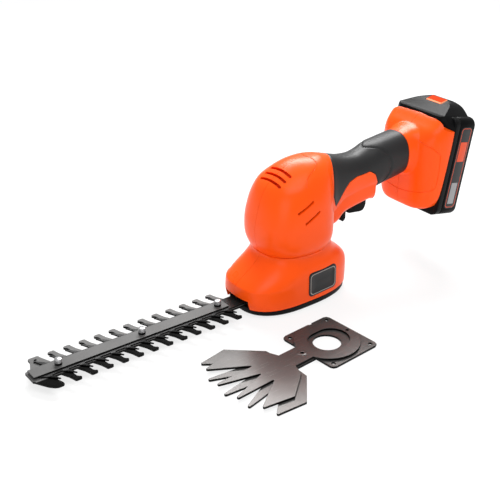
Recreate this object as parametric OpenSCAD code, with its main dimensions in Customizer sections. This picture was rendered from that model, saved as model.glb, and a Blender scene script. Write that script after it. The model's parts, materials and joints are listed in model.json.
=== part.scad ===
// Cordless grass shears: a hand-held power unit with its hedge blade fitted, a slide-on battery pack,
// and the wide grass-shear blade set lying beside it.
// Millimetres, +Z up. The origin is on the sole's underside, below the drive gear's axis.
// The blade points along -X, the battery is at +X, and the operator's left side is -Y.

/* [Hedge blade] */
// Distance from one comb tooth to the next
tooth_pitch = 14; // [13:0.5:15]
// Comb teeth on each side
tooth_count = 12; // [9:1:13]
// Distance from the drive axis to the last comb tooth
last_tooth = 64; // [62:1:70]
// Width across the comb's tooth tips
comb_w = 48.6; // [46:0.2:52]
// Width of a comb tooth's tip
tip_w = 5.2; // [4.6:0.1:5.8]
// Thickness of the guard comb
comb_t = 2; // [1.6:0.1:2.4]
// Thickness of the cutter blade
cutter_t = 1.2; // [1:0.1:1.5]
// Half width across the cutter's tooth tips
cutter_reach = 17; // [15:0.5:19]
// Thickness of the guide bar
bar_t = 1.2; // [1:0.1:1.6]
// Width of the guide bar
bar_w = 12.4; // [10:0.2:14]
// Width of the comb's spine and neck
neck_w = 18.8; // [17:0.2:20]
// Diameter of the blade bolts
bolt_d = 4; // [3:0.5:5]
// Distance between blade bolts
bolt_span = 76.5; // [70:0.5:80]
// Length of the blade's base plate
plate_l = 54; // [50:1:56]
// Width of the blade's base plate
plate_w = 58; // [54:1:59]

/* [Drive] */
// Gear module
gear_module = 0.8; // [0.75:0.01:0.82]
// Teeth on the drive gear
gear_teeth = 48; // [46:1:49]
// Teeth on the motor pinion
pinion_teeth = 12; // [12:1:13]
// Thickness of the drive gear
gear_t = 7; // [5:0.5:8]
// Stroke of the cutter blade
stroke = 7; // [5:0.5:8]
// Diameter of the crank roller
roller_d = 10; // [8:0.5:11]
// Diameter of the gear axle
axle_d = 8; // [6:0.5:9]
// Thickness of the gear frame
frame_t = 4; // [3:0.5:5]

/* [Motor] */
// Diameter of the motor can
motor_d = 36; // [32:0.5:37]
// Length of the motor can
motor_l = 52; // [46:1:56]
// Diameter of the motor shaft
shaft_d = 3.2; // [3:0.1:4]

/* [Base and dome] */
// Thickness of the sole
sole_h = 7; // [6:0.5:8]
// Half width of the base
base_half_w = 36; // [35.5:0.5:38]
// Reach of the base's lower edge in front of the drive axis
base_front = 47; // [46:1:50]
// Reach of the base behind the drive axis
base_rear = 67; // [66:1:70]
// Wall thickness of the housing
wall = 2.6; // [2:0.1:2.8]
// Width of the blade slot in the base
slot_w = 33; // [31:0.5:36]
// Height of the blade slot's upper edge
slot_top = 15.5; // [15:0.5:17]
// Half width of the dome
dome_half_w = 36.2; // [35.5:0.1:38]
// Height of the dome's top
dome_top = 129.4; // [128:0.2:134]

/* [Handle] */
// Half width of the handle at its waist
handle_half_w = 17; // [16:0.2:19]
// Thickness of the rubber grip
grip_t = 2; // [1.6:0.1:2.2]
// Place of the grip's rear ring
grip_rear = 138; // [134:1:142]
// Half width of the trigger housing
trigger_box_half_w = 15; // [14:0.2:16]

/* [Battery] */
// Lean of the pack's rails from the vertical
pack_tilt = 11; // [8:0.5:13]
// Half width of the rear block
block_half_w = 38; // [37.5:0.5:40]
// Half width of the pack's case
pack_half_w = 37.5; // [37:0.5:40]
// Wall of the pack's case
case_t = 2.2; // [1.8:0.1:2.4]
// Diameter of a cell
cell_d = 18.2; // [17:0.1:18.4]
// Length of a cell
cell_l = 65; // [60:0.5:66]
// Number of cells
cell_count = 5; // [4:1:5]

/* [Controls] */
// Travel of the trigger
trigger_travel = 5; // [3:0.5:5]
// Width of the trigger
trigger_w = 13; // [11:0.5:14]
// Travel of the lock-off button
lock_travel = 3; // [2:0.5:3]
// Travel of the battery latch
latch_travel = 3; // [2:0.5:3]

/* [Grass-shear blades] */
// Distance from the rivet to the tooth tips
shear_reach = 83; // [76:1:88]
// Angle between the comb's teeth
shear_step = 16.6; // [15:0.2:18]
// Thickness of each shear plate
shear_t = 2; // [1.5:0.1:2.5]
// Diameter of the drive hole in the base plate
drive_hole_d = 24; // [22:0.5:25]
// Diameter of the shear rivet
rivet_d = 6; // [5:0.5:8]
// Distance of the shear set's centre line from the tool's
shear_side = 91; // [90:1:110]
// Place of the shear set's drive hole along the tool
shear_x = -19.5; // [-30:0.5:0]

/* [Clearances] */
// Radial gap of a running fit
run_gap = 0.05; // [0.03:0.01:0.1]
// Gap between pieces that slide past each other
slip_gap = 0.3; // [0.2:0.05:0.4]
// Gap between the blade plates
blade_gap = 0.05; // [0.03:0.01:0.1]
// Gap on each side of the housing's seam
seam_gap = 0.05; // [0.03:0.01:0.1]

/* [Hidden] */
$fn = 48;

// Colours as the photo shows them
ORANGE = "#ff5f1e";
RUBBER = "#323232";
BLACK = "#232323";
STEEL = "#8c8c8c";
BRIGHT = "#c8c8c8";
BRASS = "#c8a050";
COPPER = "#b46a3c";

// Heights of the blade plates, from the sole's underside
comb_z = sole_h;
cutter_z = comb_z + comb_t + blade_gap;
bar_z = cutter_z + cutter_t + blade_gap;
bar_top = bar_z + bar_t;

// Blade layout along X, from the rear tooth forward
comb_half = comb_w / 2;
spine_half = neck_w / 2;
nose_tooth = -last_tooth - tooth_pitch * tooth_count;
nose_x = nose_tooth - tooth_pitch;
root_front = 3.2;
root_rear = 10.9;
rear_bolt = -last_tooth - 3.4;
bolt_x = [for (i = [0:2]) rear_bolt - i * bolt_span];
bolt_head_d = bolt_d + 2.2;
bolt_head_h = 5.5;
spacer_d = bolt_d + 2.4;
nut_h = 2.8;
plate_front = 23.5;
plate_r = 6;
pin_d = 5;
pin_front = 17;
pin_rear = 24;
frame_edge_gap = 8;
frame_half_w = base_half_w - frame_edge_gap;
frame_r = 8;
frame_reach = 22;
pin_margin = 5;
pin_side = frame_half_w - pin_margin;
ledge_lap = 2;
pin_places = [for (x = [-pin_front, pin_rear], y = [-pin_side, pin_side]) [x, y]];

// Drive train heights
throw = stroke / 2;
roller_h = 4.5;
crank_z = cutter_z + slip_gap / 2;
disc_h = 6;
disc_z = crank_z + roller_h + slip_gap;
disc_d = 26;
gear_z = disc_z + disc_h;
frame_z = gear_z + gear_t + 2 * slip_gap + 0.1;
frame_top = frame_z + frame_t;
bush_d = axle_d + 4;
bush_over = slip_gap + 0.1;
clip_t = 1.1;
clip_recess_d = bush_d + 2;
clip_recess_h = 4;
crank_pin_d = 6;
drive_dowel_d = 4;
drive_dowel_r = 10;
gear_root = 1.25;
pressure_angle = 25;
tooth_backlash = 0.1;
centre_distance = gear_module * (gear_teeth + pinion_teeth) / 2;

// Motor heights
motor_x = centre_distance;
can_t = 1.6;
can_z = frame_top;
can_top = can_z + motor_l;
motor_boss_d = 13;
motor_bush_d = 6;
motor_screw_d = 3;
motor_screw_r = 12.5;
cap_h = 6;
armature_d = motor_d - 10;
core_z = can_z + 15;
core_l = 24;
winding_l = 7;
commutator_d = 8;
commutator_z = core_z + core_l + winding_l + 0.5;
brush_z = can_top - 3.7;
brush_h = 5;
terminal_h = 4.5;

// Housing sections. Base and dome levels are [height, front, rear, half width, front roundness].
widest_x = 4;
lip_front = base_front + 2;
shoulder_z = 24;
base_nose = 2.45;
base_top = 51;
base_levels = [
    [sole_h, -base_front, base_rear, base_half_w, base_nose],
    [sole_h + 7, -lip_front, base_rear + 0.5, base_half_w, base_nose],
    [shoulder_z, -lip_front + 1, base_rear + 0.5, base_half_w, 2.4],
    [shoulder_z + 5, -lip_front + 5.5, base_rear, base_half_w - 0.3, 2.35],
    [33, -38, base_rear - 1.5, base_half_w - 0.8, 2.3],
    [37.5, -31.5, base_rear - 6, base_half_w - 2, 2.3],
    [42, -26, base_rear - 12, base_half_w - 3.8, 2.3],
    [46, -22.5, 52, base_half_w - 5.2, 2.3],
    [base_top, -21, 49.5, base_half_w - 6.5, 2.3]
];
base_tail = 2.7;
dome_x = 11.5;
dome_rear = 48;
dome_levels = [
    [base_top - 4, -20.2, dome_rear - 3.2, dome_half_w - 8, 2.3],
    [54, -23.8, dome_rear - 0.5, dome_half_w - 2.6, 2.4],
    [63, -26.4, dome_rear, dome_half_w, 2.5],
    [75, -26.8, dome_rear, dome_half_w + 0.3, 2.5],
    [84, -25.4, dome_rear, dome_half_w - 0.2, 2.5],
    [98.7, -21.4, dome_rear, dome_half_w - 2.2, 2.45],
    [110.4, -15.4, dome_rear, dome_half_w - 6.2, 2.4],
    [dome_top - 11.4, -6, dome_rear + 1, 25, 2.3],
    [dome_top - 5.4, 4, dome_rear, 18.5, 2.2],
    [dome_top - 1.6, 13, 44, 11, 2.1],
    [dome_top - 0.2, 22, 40, 5, 2]
];
// Handle stations are [place, top, bottom, half width]
handle_stations = [
    [24, 127.5, 60, 24], [36, 128.6, 61, 23], [45, 127.5, 63, 21.2], [52, 125.2, 66, 19],
    [61, 122.2, 74, handle_half_w + 1], [70, 120, 77, handle_half_w + 0.5], [83, 119, 79, handle_half_w],
    [94, 121, 80.5, handle_half_w + 0.3], [104, 124.5, 82, handle_half_w + 0.8],
    [115, 126, 84, handle_half_w + 1], [128, 127.4, 86, handle_half_w + 1.2],
    [140, 128.4, 88, handle_half_w + 1.4], [152, 128.6, 89, handle_half_w + 1.4]
];
handle_round = 2.3;
// Trigger housing stations, in the same form
trigger_top = 96;
trigger_stations = [
    [36, trigger_top, 56, trigger_box_half_w + 1], [50, trigger_top, 57, trigger_box_half_w + 0.5],
    [58, trigger_top, 59, trigger_box_half_w], [66, trigger_top, 66.5, trigger_box_half_w],
    [80, trigger_top, 70, trigger_box_half_w], [97, trigger_top, 72.5, trigger_box_half_w],
    [102, trigger_top, 71, trigger_box_half_w - 1], [104.5, trigger_top - 3, 76, trigger_box_half_w - 4]
];
trigger_round = 3.2;
// Rear block stations, in the same form
block_stations = [
    [146.6, 118, 53, block_half_w - 16], [150.5, 125, 52, block_half_w - 9.5],
    [155, 130.6, 51.8, block_half_w - 4.5], [160, 135, 52.5, block_half_w - 1.7],
    [166.6, 140.5, 54, block_half_w - 0.2], [173, 143, 56, block_half_w], [190, 145, 58, block_half_w]
];
block_round = 6;
ring_points = 32;

// Grip patch: front edge and the lower edge's angle along the handle
grip_front_top = 52.8;
grip_front_side = 44;
grip_lower_edge = [
    [44, -2], [50, -27], [60.6, -6], [66.3, 3.5], [75.3, 10.6], [90.7, 10], [97.4, -3], [102, -32],
    [104.5, -90]
];
grip_rows = 22;
grip_cols = 12;
grip_seat = 0.12;

// Pack frame: the rails' plane, leaning back
pack_x = 169;
pack_z = 95;
case_bottom = -48.6;
case_top = case_bottom + cell_count * (cell_d + 0.1) + 2 * case_t + 0.1;
seat_w = case_top - 2.6;
cover_u = 0.4;
cover_l = 6.8;
tray_u = cover_u + cover_l;
tray_l = cell_d + case_t + 1.4;
case_rear = tray_u + tray_l;
case_r = 8;
cap_reach = 11;
cap_h_top = case_top + 11;
cap_peak = 17;
cap_rear = 24;
cap_half = [
    [pack_half_w, seat_w - 1], [pack_half_w, seat_w + 1.2], [33.5, seat_w + 5.6], [27, cap_h_top - 3.6],
    [18, cap_h_top - 0.9], [9, cap_h_top + 0.5]
];
cap_plan = [[-cap_reach, 26], [-6, 33], [0, 37], [4, pack_half_w], [cap_rear + 4, pack_half_w]];
tongue_half = 19.7;
stem_half = 15.7;
channel_floor = -28;
tongue_back = -6.7;
lip_u = -3.3;
receiver_back = -9;
receiver_half = 22.2;
receiver_bottom = -31.2;
receiver_top = 40;
flange_half = 24;
contact_side = 8;
contact_t = 0.8;
contact_l = 12;
latch_u = 9.5;
latch_l = 9;
latch_w = 20;
latch_floor = case_top + 1.6;
label_t = 0.5;

// Trigger and switch layout
switch_x0 = 76;
switch_x1 = 100;
switch_z0 = 92;
switch_z1 = 112;
switch_half = 8;
trigger_x0 = 75.3;
trigger_x1 = 98;
trigger_low = 60.5;
trigger_head = switch_z0 - trigger_travel - 3.5;
plunger_d = 5;
plunger_x = 88;
lock_x0 = 68.5;
lock_l = 6;
lock_half = 5;
lock_low = 56;
lock_pin_d = 4;
lock_pin_z = 98;
slot_r = 1.2;

// Housing screws: [X, Z, height of the head's outer face from the seam]
screw_places = [[-33, 26.3, 17], [56.6, 22.3, 17], [-7.7, 103.3, 19], [50.3, 85.3, 9], [112.3, 97.3, 8],
    [156.4, 112, 18]];
screw_d = 3;
screw_head_d = 5.6;
screw_head_h = 2.4;
screw_tip = 11;
boss_d = 8;

// Sole
sole_front = base_front - 1.5;
sole_floor = 3;
sole_rim = 4;
heel_x = 50;
heel_rise = 9;
heel_l = 18;
spigot_gap = slip_gap;
sole_tongue_x = 46.5;
sole_latch_x0 = 54;
sole_latch_half = 7.5;
sole_latch_z0 = sole_h + 2;
sole_latch_z1 = sole_h + 8;

// Grass-shear layout, from its drive hole
shear_rivet_x = -29;
shear_turn = 5;
rivet_head_d = rivet_d + 2;
rivet_bore_d = rivet_d / 2;
rivet_sink = 1;
ring_hole_d = 3;
shear_plate_w = 61;
shear_neck = 22;
shear_shoulder = 30;
shear_flare = 65;
shear_margin = 15.7;
shear_root = 46;
shear_slot = 0.7;
shear_tip = 0.95;
shear_ring_d = 56;
shear_z2 = shear_t + blade_gap;

// Superellipse helpers
function spow(v, p) = sign(v) * pow(abs(v), p);
function mix(a, b, t) = a + (b - a) * t;
// A half outline and its mirror image across the line where coordinate k is nought
function both_sides(points, k) = concat(
    points,
    [for (i = [len(points) - 1:-1:0])
        k == 0 ? [-points[i][0], points[i][1]] : [points[i][0], -points[i][1]]]
);

// A plan outline: front and rear halves about the widest place, each with its own roundness
function plan_ring(z, xf, xm, xr, w, nf, nr, count) = [
    for (i = [0:count - 1])
        let (t = 360 * i / count, c = cos(t), n = c < 0 ? nf : nr)
            [xm + (c < 0 ? xm - xf : xr - xm) * spow(c, 2 / n), w * spow(sin(t), 2 / n), z]
];
// An upright section across the handle
function cross_ring(x, top, bottom, w, n, count) = [
    for (i = [0:count - 1])
        let (t = 360 * i / count)
            [x, w * spow(cos(t), 2 / n), (top + bottom) / 2 + (top - bottom) / 2 * spow(sin(t), 2 / n)]
];
function centre_of(ring) = [for (k = [0:2]) let (v = [for (p = ring) p[k]]) (max(v) + min(v)) / 2];

// A closed skin through rings of equal count, with a fan at each end
module loft(rings, turned = false) {
    n = len(rings[0]);
    last = len(rings) - 1;
    points = concat([for (r = rings) each r], [centre_of(rings[0]), centre_of(rings[last])]);
    side = [
        for (j = [0:last - 1], i = [0:n - 1])
            let (a = j * n + i, b = j * n + (i + 1) % n)
                each [[a, b, b + n], [a, b + n, a + n]]
    ];
    first_cap = [for (i = [0:n - 1]) [(i + 1) % n, i, (last + 1) * n]];
    last_cap = [for (i = [0:n - 1]) [last * n + i, last * n + (i + 1) % n, (last + 1) * n + 1]];
    faces = concat(side, first_cap, last_cap);
    polyhedron(points, turned ? faces : [for (f = faces) [f[2], f[1], f[0]]]);
}
// A thin closed patch between an outer and an inner grid of points
module patch(outer, inner) {
    rows = len(outer);
    cols = len(outer[0]);
    size = rows * cols;
    points = concat([for (r = outer) each r], [for (r = inner) each r]);
    grid = [
        for (j = [0:rows - 2], i = [0:cols - 2])
            let (a = j * cols + i, b = a + 1, c = b + cols, d = a + cols)
                each [[a, b, c], [a, c, d], [a + size, c + size, b + size], [a + size, d + size, c + size]]
    ];
    edge = concat(
        [for (i = [0:cols - 2]) i], [for (j = [0:rows - 2]) j * cols + cols - 1],
        [for (i = [cols - 1:-1:1]) (rows - 1) * cols + i], [for (j = [rows - 1:-1:1]) j * cols]
    );
    rim = [
        for (i = [0:len(edge) - 1])
            let (a = edge[i], b = edge[(i + 1) % len(edge)])
                each [[b, a, a + size], [b, a + size, b + size]]
    ];
    polyhedron(points, concat(grid, rim));
}
// A round tube along a list of points
module tube(path, r, sides = 8) {
    last = len(path) - 1;
    rings = [
        for (j = [0:last])
            let (
                a = path[max(j - 1, 0)], b = path[min(j + 1, last)], d = (b - a) / norm(b - a),
                s = cross(d, [0, 0, 1]), u = norm(s) > 0.2 ? s / norm(s) : [0, 1, 0], v = cross(u, d)
            ) [for (i = [0:sides - 1]) path[j] + r * (cos(360 * i / sides) * u + sin(360 * i / sides) * v)]
    ];
    loft(rings, true);
}
// A coil spring standing on its base
module coil(d, wire, h, turns) {
    steps = 10;
    count = turns * steps;
    path = [
        for (k = [0:count])
            [(d - wire) / 2 * cos(360 * k / steps), (d - wire) / 2 * sin(360 * k / steps),
             wire / 2 + 0.05 + (h - wire - 0.1) * k / count]
    ];
    tube(path, wire / 2, 6);
}

// Flat outlines
module round_rect(x0, x1, y0, y1, r) {
    translate([x0 + r, y0]) square([x1 - x0 - 2 * r, y1 - y0]);
    translate([x0, y0 + r]) square([x1 - x0, y1 - y0 - 2 * r]);
    for (x = [x0 + r, x1 - r], y = [y0 + r, y1 - r]) translate([x, y]) circle(r = r);
}
module slot_outline(length, width) {
    square([length - width, width], center = true);
    for (s = [-1, 1]) translate([s * (length - width) / 2, 0]) circle(d = width);
}
module block3(lo, hi) {
    translate(lo) cube(hi - lo);
}
module pipe(d, bore, h) {
    difference() {
        cylinder(d = d, h = h);
        translate([0, 0, -1]) cylinder(d = bore, h = h + 2);
    }
}
// Places children in the pack's leaning frame: x is away from the block, z is along the rails
module on_pack() {
    translate([pack_x, 0, pack_z]) rotate([0, pack_tilt, 0]) children();
}
// Extrudes a (y, z) outline along the pack's x
module along_u(u0, u1) {
    translate([u0, 0, 0]) rotate([90, 0, 90]) linear_extrude(u1 - u0) children();
}
// Extrudes an (x, z) outline across y
module across_y(half) {
    translate([0, half, 0]) rotate([90, 0, 0]) linear_extrude(2 * half) children();
}

// Involute gear outline
function involute(a) = tan(a) * 180 / PI - a;
function flank_angle(r, rb, half) =
    r <= rb ? half + involute(pressure_angle)
            : half + involute(pressure_angle) - involute(acos(rb / r));
module gear_outline(teeth) {
    rp = gear_module * teeth / 2;
    rb = rp * cos(pressure_angle);
    ra = rp + gear_module;
    rf = rp - gear_root * gear_module;
    half = 90 / teeth - tooth_backlash / rp * 180 / PI;
    radii = [for (k = [0:4]) mix(max(rb, rf), ra, k / 4)];
    flank = [for (r = radii) [r, flank_angle(r, rb, half)]];
    root = [rf, flank_angle(max(rb, rf), rb, half)];
    right = concat([root], rf < rb ? flank : [for (k = [1:4]) flank[k]]);
    polygon([
        for (t = [0:teeth - 1])
            let (m = 360 * t / teeth)
                each concat(
                    [for (p = right) p[0] * [cos(m - p[1]), sin(m - p[1])]],
                    [for (k = [len(right) - 1:-1:0])
                        right[k][0] * [cos(m + right[k][1]), sin(m + right[k][1])]]
                )
    ]);
}

// Housing forms. Inset draws the same form smaller by a wall.
function base_rings(inset, low) = [
    for (j = [0:len(base_levels) - 1])
        let (b = base_levels[j])
            plan_ring(j == 0 ? low : b[0] - inset * (b[0] > shoulder_z ? 0.5 : 0), b[1] + inset, widest_x,
                      b[2] - inset, b[3] - inset, b[4], base_tail, ring_points)
];
function dome_rings(inset) = [
    for (b = dome_levels)
        plan_ring(b[0] - inset * (b[0] - base_top) / (dome_top - base_top), b[1] + inset,
            dome_x + inset / 2,
                  b[2] - inset, max(b[3] - inset, 2), b[4], b[4], ring_points)
];
function bar_rings(stations, n, inset) = [
    for (s = stations) cross_ring(s[0], s[1] - inset, s[2] + inset, s[3] - inset, n, ring_points)
];
function shifted(stations, from, to) = [
    for (j = [0:len(stations) - 1])
        let (s = stations[j])
            j == 0 ? [s[0] + from, s[1], s[2], s[3]]
                   : j == len(stations) - 1 ? [s[0] + to, s[1], s[2], s[3]] : s
];
module housing_form(inset = 0) {
    loft(base_rings(inset, sole_h));
    loft(dome_rings(inset));
    loft(bar_rings(handle_stations, handle_round, inset));
    loft(bar_rings(trigger_stations, trigger_round, inset));
    difference() {
        loft(bar_rings(block_stations, block_round, inset));
        on_pack() block3([0, -60, -90], [60, 60, 90]);
        on_pack() block3([-cap_reach - 0.4, -60, seat_w - 0.4], [60, 60, 90]);
    }
}
module housing_hollow() {
    loft(base_rings(wall, sole_h - 1));
    loft(dome_rings(wall));
    loft(bar_rings(handle_stations, handle_round, grip_t + wall));
    loft(bar_rings(shifted(trigger_stations, 0, -wall), trigger_round, wall));
    difference() {
        loft(bar_rings(shifted(block_stations, wall, 0), block_round, wall));
        on_pack() block3([-wall, -60, -90], [60, 60, 90]);
        on_pack() block3([-cap_reach - 3, -60, seat_w - 3], [60, 60, 90]);
    }
}
// A long rounded cut between two points, along a direction
module slot_cut(a, b, d, along, depth) {
    hull() for (p = [a, b]) translate(p) rotate(along) cylinder(d = d, h = depth, center = true, $fn = 12);
}
module vents(side) {
    for (k = [0:2]) {
        place = [2 - 5.4 * k, 0, 121 - 3.6 * k];
        slot_cut(place + [0, -12, 0], place + [0, 12, 0], 2.2, [0, -45, 0], 22);
    }
    for (k = [0:1]) {
        a = [-4.3 + 6 * k, side * 34, 93.8 - 10 * k];
        slot_cut(a, a + [14.5, 0, 7.4], 2.2, [90, 0, 0], 22);
    }
}
// Screw posts and the ledges that trap the gear frame, the switch and the receiver
module inner_ribs(side) {
    ledge_y = frame_half_w - ledge_lap;
    for (p = screw_places) hull() {
        translate([p[0], 0, p[1]]) rotate([-90 * side, 0, 0]) cylinder(d = boss_d, h = 20, $fn = 24);
        translate([p[0], 0, p[1]]) rotate([-90 * side, 0, 0]) cylinder(d = boss_d + 1.5, h = 40, $fn = 24);
    }
    for (x = [-12, 32], z = [frame_z - 3, frame_top])
        block3([x, min(side * ledge_y, side * 60), z], [x + 9, max(side * ledge_y, side * 60), z + 3]);
    for (z = [switch_z0 - 2.5, switch_z1])
        block3([84, min(side * 5, side * 40), z], [96, max(side * 5, side * 40), z + 2.5]);
}
// What is cut out of both halves
module housing_cuts(side) {
    vents(side);
    block3([-lip_front - 9, -slot_w / 2, sole_h - 5], [-30, slot_w / 2, slot_top]);
    hull() for (x = [lock_x0 - lock_travel - 0.6 + slot_r, trigger_x1 + 0.7 - slot_r], y = [-1, 1])
        translate([x, y * (trigger_w / 2 + 0.4 - slot_r), 40]) cylinder(r = slot_r, h = 38, $fn = 16);
    block3([45, -sole_latch_half - 0.5, sole_latch_z0 - 0.4],
        [90, sole_latch_half + 0.5, sole_latch_z1 + 0.4]);
    on_pack() block3([-wall - 2, -receiver_half - 0.3, receiver_bottom - 0.3],
        [9, receiver_half + 0.3, 90]);
    on_pack() block3([tongue_back - 0.35, -tongue_half - 0.35, receiver_top], [9, tongue_half + 0.35, 90]);
    for (p = screw_places) {
        translate([p[0], -screw_tip - 1, p[1]]) rotate([-90, 0, 0])
            cylinder(d = screw_d + 0.4, h = 60, $fn = 14);
        translate([p[0], p[2] - screw_head_h - 0.2, p[1]]) rotate([-90, 0, 0])
            cylinder(d = screw_head_d + 0.8, h = 40, $fn = 14);
    }
}
module housing_half(side) {
    difference() {
        union() {
            difference() {
                housing_form();
                housing_hollow();
            }
            intersection() {
                inner_ribs(side);
                housing_form(wall / 2);
            }
        }
        housing_cuts(side);
        grip_patch(side, -9, grip_t + grip_seat, 0.15);
        block3([-90, side > 0 ? -90 : -seam_gap, -9], [260, side > 0 ? seam_gap : 90, 260]);
    }
}
module left_housing() {
    color(ORANGE) housing_half(-1);
}
module right_housing() {
    color(ORANGE) housing_half(1);
}

// Rubber grip: a patch that follows the handle's own form
function station(x, k) = lookup(x, [for (s = handle_stations) [s[0], s[k]]]);
function handle_point(x, t, inset, side) =
    let (top = station(x, 1) - inset, bottom = station(x, 2) + inset, w = station(x, 3) - inset)
        [x, side * max(w * spow(max(cos(t), 0), 2 / handle_round), 0),
         (top + bottom) / 2 + (top - bottom) / 2 * spow(sin(t), 2 / handle_round)];
function grip_point(s, q, inset, side, grow) =
    let (
        nominal = mix(grip_front_side, grip_rear, s),
            low = max(lookup(nominal, grip_lower_edge) - grow * 3, -90),
        t = mix(low, 90, q), front = mix(grip_front_top, grip_front_side, cos(t)) - grow,
        p = handle_point(mix(front, grip_rear + grow, s), t, inset, side)
    ) [p[0], side * max(side * p[1], grow > 0 ? 0 : seam_gap), p[2]];
function grip_grid(inset, side, grow) = [
    for (j = [0:grip_rows])
        [for (i = [0:grip_cols])
            grip_point(j / grip_rows, (side < 0 ? i : grip_cols - i) / grip_cols, inset, side, grow)]
];
module grip_patch(side, outer, inner, grow) {
    patch(grip_grid(outer, side, grow), grip_grid(inner, side, grow));
}
module left_grip() {
    color(RUBBER) grip_patch(-1, 0, grip_t, 0);
}
module right_grip() {
    color(RUBBER) grip_patch(1, 0, grip_t, 0);
}

// Bare plates on the base's side walls
badge_x0 = 6;
badge_x1 = 40;
badge_z0 = sole_h + 4;
badge_z1 = sole_h + 27;
badge_t = 0.8;
badge_seat = 0.12;
function base_level(z, k) = lookup(z, [for (b = base_levels) [b[0], b[k]]]);
function base_side(x, z) =
    let (w = base_level(z, 3), a = x < widest_x ? widest_x - base_level(z, 1) : base_level(z, 2) - widest_x)
        w * pow(1 - pow(abs(x - widest_x) / a, base_tail), 1 / base_tail);
function badge_grid(lift, side) = [
    for (j = [0:6])
        let (z = mix(badge_z0, badge_z1, j / 6))
            [for (i = [0:8])
                let (x = mix(badge_x0, badge_x1, (side > 0 ? i : 8 - i) / 8))
                    [x, side * (base_side(x, z) + lift), z]]
];
module badge(side) {
    patch(badge_grid(badge_t + badge_seat, side), badge_grid(badge_seat, side));
}
module left_badge() {
    color(BLACK) badge(-1);
}
module right_badge() {
    color(BLACK) badge(1);
}
module housing_screws() {
    color(BRIGHT) for (p = screw_places) translate([p[0], p[2], p[1]]) rotate([90, 0, 0]) difference() {
        union() {
            cylinder(d = screw_head_d, h = screw_head_h);
            cylinder(d = screw_d, h = p[2] + screw_tip);
        }
        translate([0, 0, -1]) cylinder(d = 2.6, h = 2.2, $fn = 6);
    }
}

// Sole: a shallow tray with pads under the blade's base plate
module sole_outline(inset) {
    ring = plan_ring(0, -sole_front + inset, widest_x, base_rear - 1 - inset, base_half_w - 0.3 - inset,
        base_nose, base_tail, 72);
    polygon([for (p = ring) [p[0], p[1]]]);
}
module sole_plate() {
    color(BLACK) difference() {
        union() {
            difference() {
                union() {
                    linear_extrude(sole_h) sole_outline(1.6);
                    translate([0, 0, 2]) linear_extrude(sole_h - 2) sole_outline(0);
                }
                translate([0, 0, sole_floor]) linear_extrude(sole_h) sole_outline(sole_rim + 1);
            }
            for (p = pin_places) translate([p[0], p[1], 1]) cylinder(r = 4, h = sole_h - 1);
            translate([0, 0, 1]) cylinder(d = drive_hole_d + 6, h = sole_h - 1);
            translate([0, 0, 1]) cylinder(d = drive_hole_d - 2 * spigot_gap,
                h = sole_h - 1 + comb_t - slip_gap);
            block3([sole_tongue_x, -6, 1], [sole_tongue_x + 2.5, 6, sole_latch_z1 - 1]);
        }
        across_y(60) polygon([
            [heel_x, -1], [heel_x, 0], [heel_x + heel_l, heel_rise], [heel_x + 2 * heel_l, heel_rise],
            [heel_x + 2 * heel_l, -1]
        ]);
    }
}
module sole_latch() {
    color(BLACK) difference() {
        block3([sole_latch_x0, -sole_latch_half, sole_latch_z0],
            [base_rear + 0.8, sole_latch_half, sole_latch_z1]);
        for (k = [-1, 1]) translate([base_rear + 0.8, -20, (sole_latch_z0 + sole_latch_z1) / 2 + 1.5 * k])
            rotate([-90, 0, 0]) cylinder(d = 1, h = 40);
    }
}

// Gear train
module gear_frame() {
    color(BRIGHT) translate([0, 0, frame_z]) difference() {
        linear_extrude(frame_t) 
            round_rect(-frame_reach, motor_x + frame_reach, -frame_half_w, frame_half_w, frame_r);
        translate([0, 0, -1]) cylinder(d = axle_d + 2 * run_gap, h = frame_t + 2);
        translate([motor_x, 0, -1]) cylinder(d = motor_boss_d + 2 * run_gap, h = frame_t + 2);
        for (p = pin_places) translate([p[0], p[1], -1]) cylinder(d = pin_d + 2 * run_gap, h = frame_t + 2);
        for (s = [-1, 1]) translate([motor_x, s * motor_screw_r, -1])
            cylinder(d = motor_screw_d + 0.2, h = frame_t + 2);
    }
}
module locating_pins() {
    color(STEEL) for (p = pin_places) translate([p[0], p[1], comb_z])
        cylinder(d = pin_d, h = frame_top - comb_z);
}
module gear_axle() {
    low = disc_z + 2.6;
    color(BRIGHT) {
        translate([0, 0, low]) cylinder(d = axle_d, h = frame_top - low);
        translate([0, 0, frame_top]) cylinder(d = axle_d + 2.6, h = 1.6);
    }
}
module axle_clip() {
    color(STEEL) translate([0, 0, gear_z - bush_over - slip_gap - clip_t])
        pipe(bush_d, axle_d + 2 * run_gap, clip_t);
}
module gear_bush() {
    color(BRASS) translate([0, 0, gear_z - bush_over])
        pipe(bush_d, axle_d + 2 * run_gap, gear_t + 2 * bush_over);
}
module drive_gear() {
    color(STEEL) translate([0, 0, gear_z]) difference() {
        linear_extrude(gear_t) gear_outline(gear_teeth);
        translate([0, 0, -1]) cylinder(d = bush_d + 2 * run_gap, h = gear_t + 2);
        for (s = [-1, 1]) translate([s * drive_dowel_r, 0, -1])
            cylinder(d = drive_dowel_d + 2 * run_gap, h = gear_t + 2);
    }
}
module crank_disc() {
    color(STEEL) {
        difference() {
            translate([0, 0, disc_z]) cylinder(d = disc_d, h = disc_h);
            translate([0, 0, gear_z - clip_recess_h]) cylinder(d = clip_recess_d, h = clip_recess_h + 1);
        }
        for (s = [-1, 1]) translate([s * drive_dowel_r, 0, gear_z - 1])
            cylinder(d = drive_dowel_d, h = gear_t);
        translate([0, throw, crank_z]) cylinder(d = crank_pin_d, h = disc_z - crank_z + 1);
    }
}
module crank_roller() {
    color(BRIGHT) translate([0, throw, crank_z]) pipe(roller_d, crank_pin_d + 2 * run_gap, roller_h);
}

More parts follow.
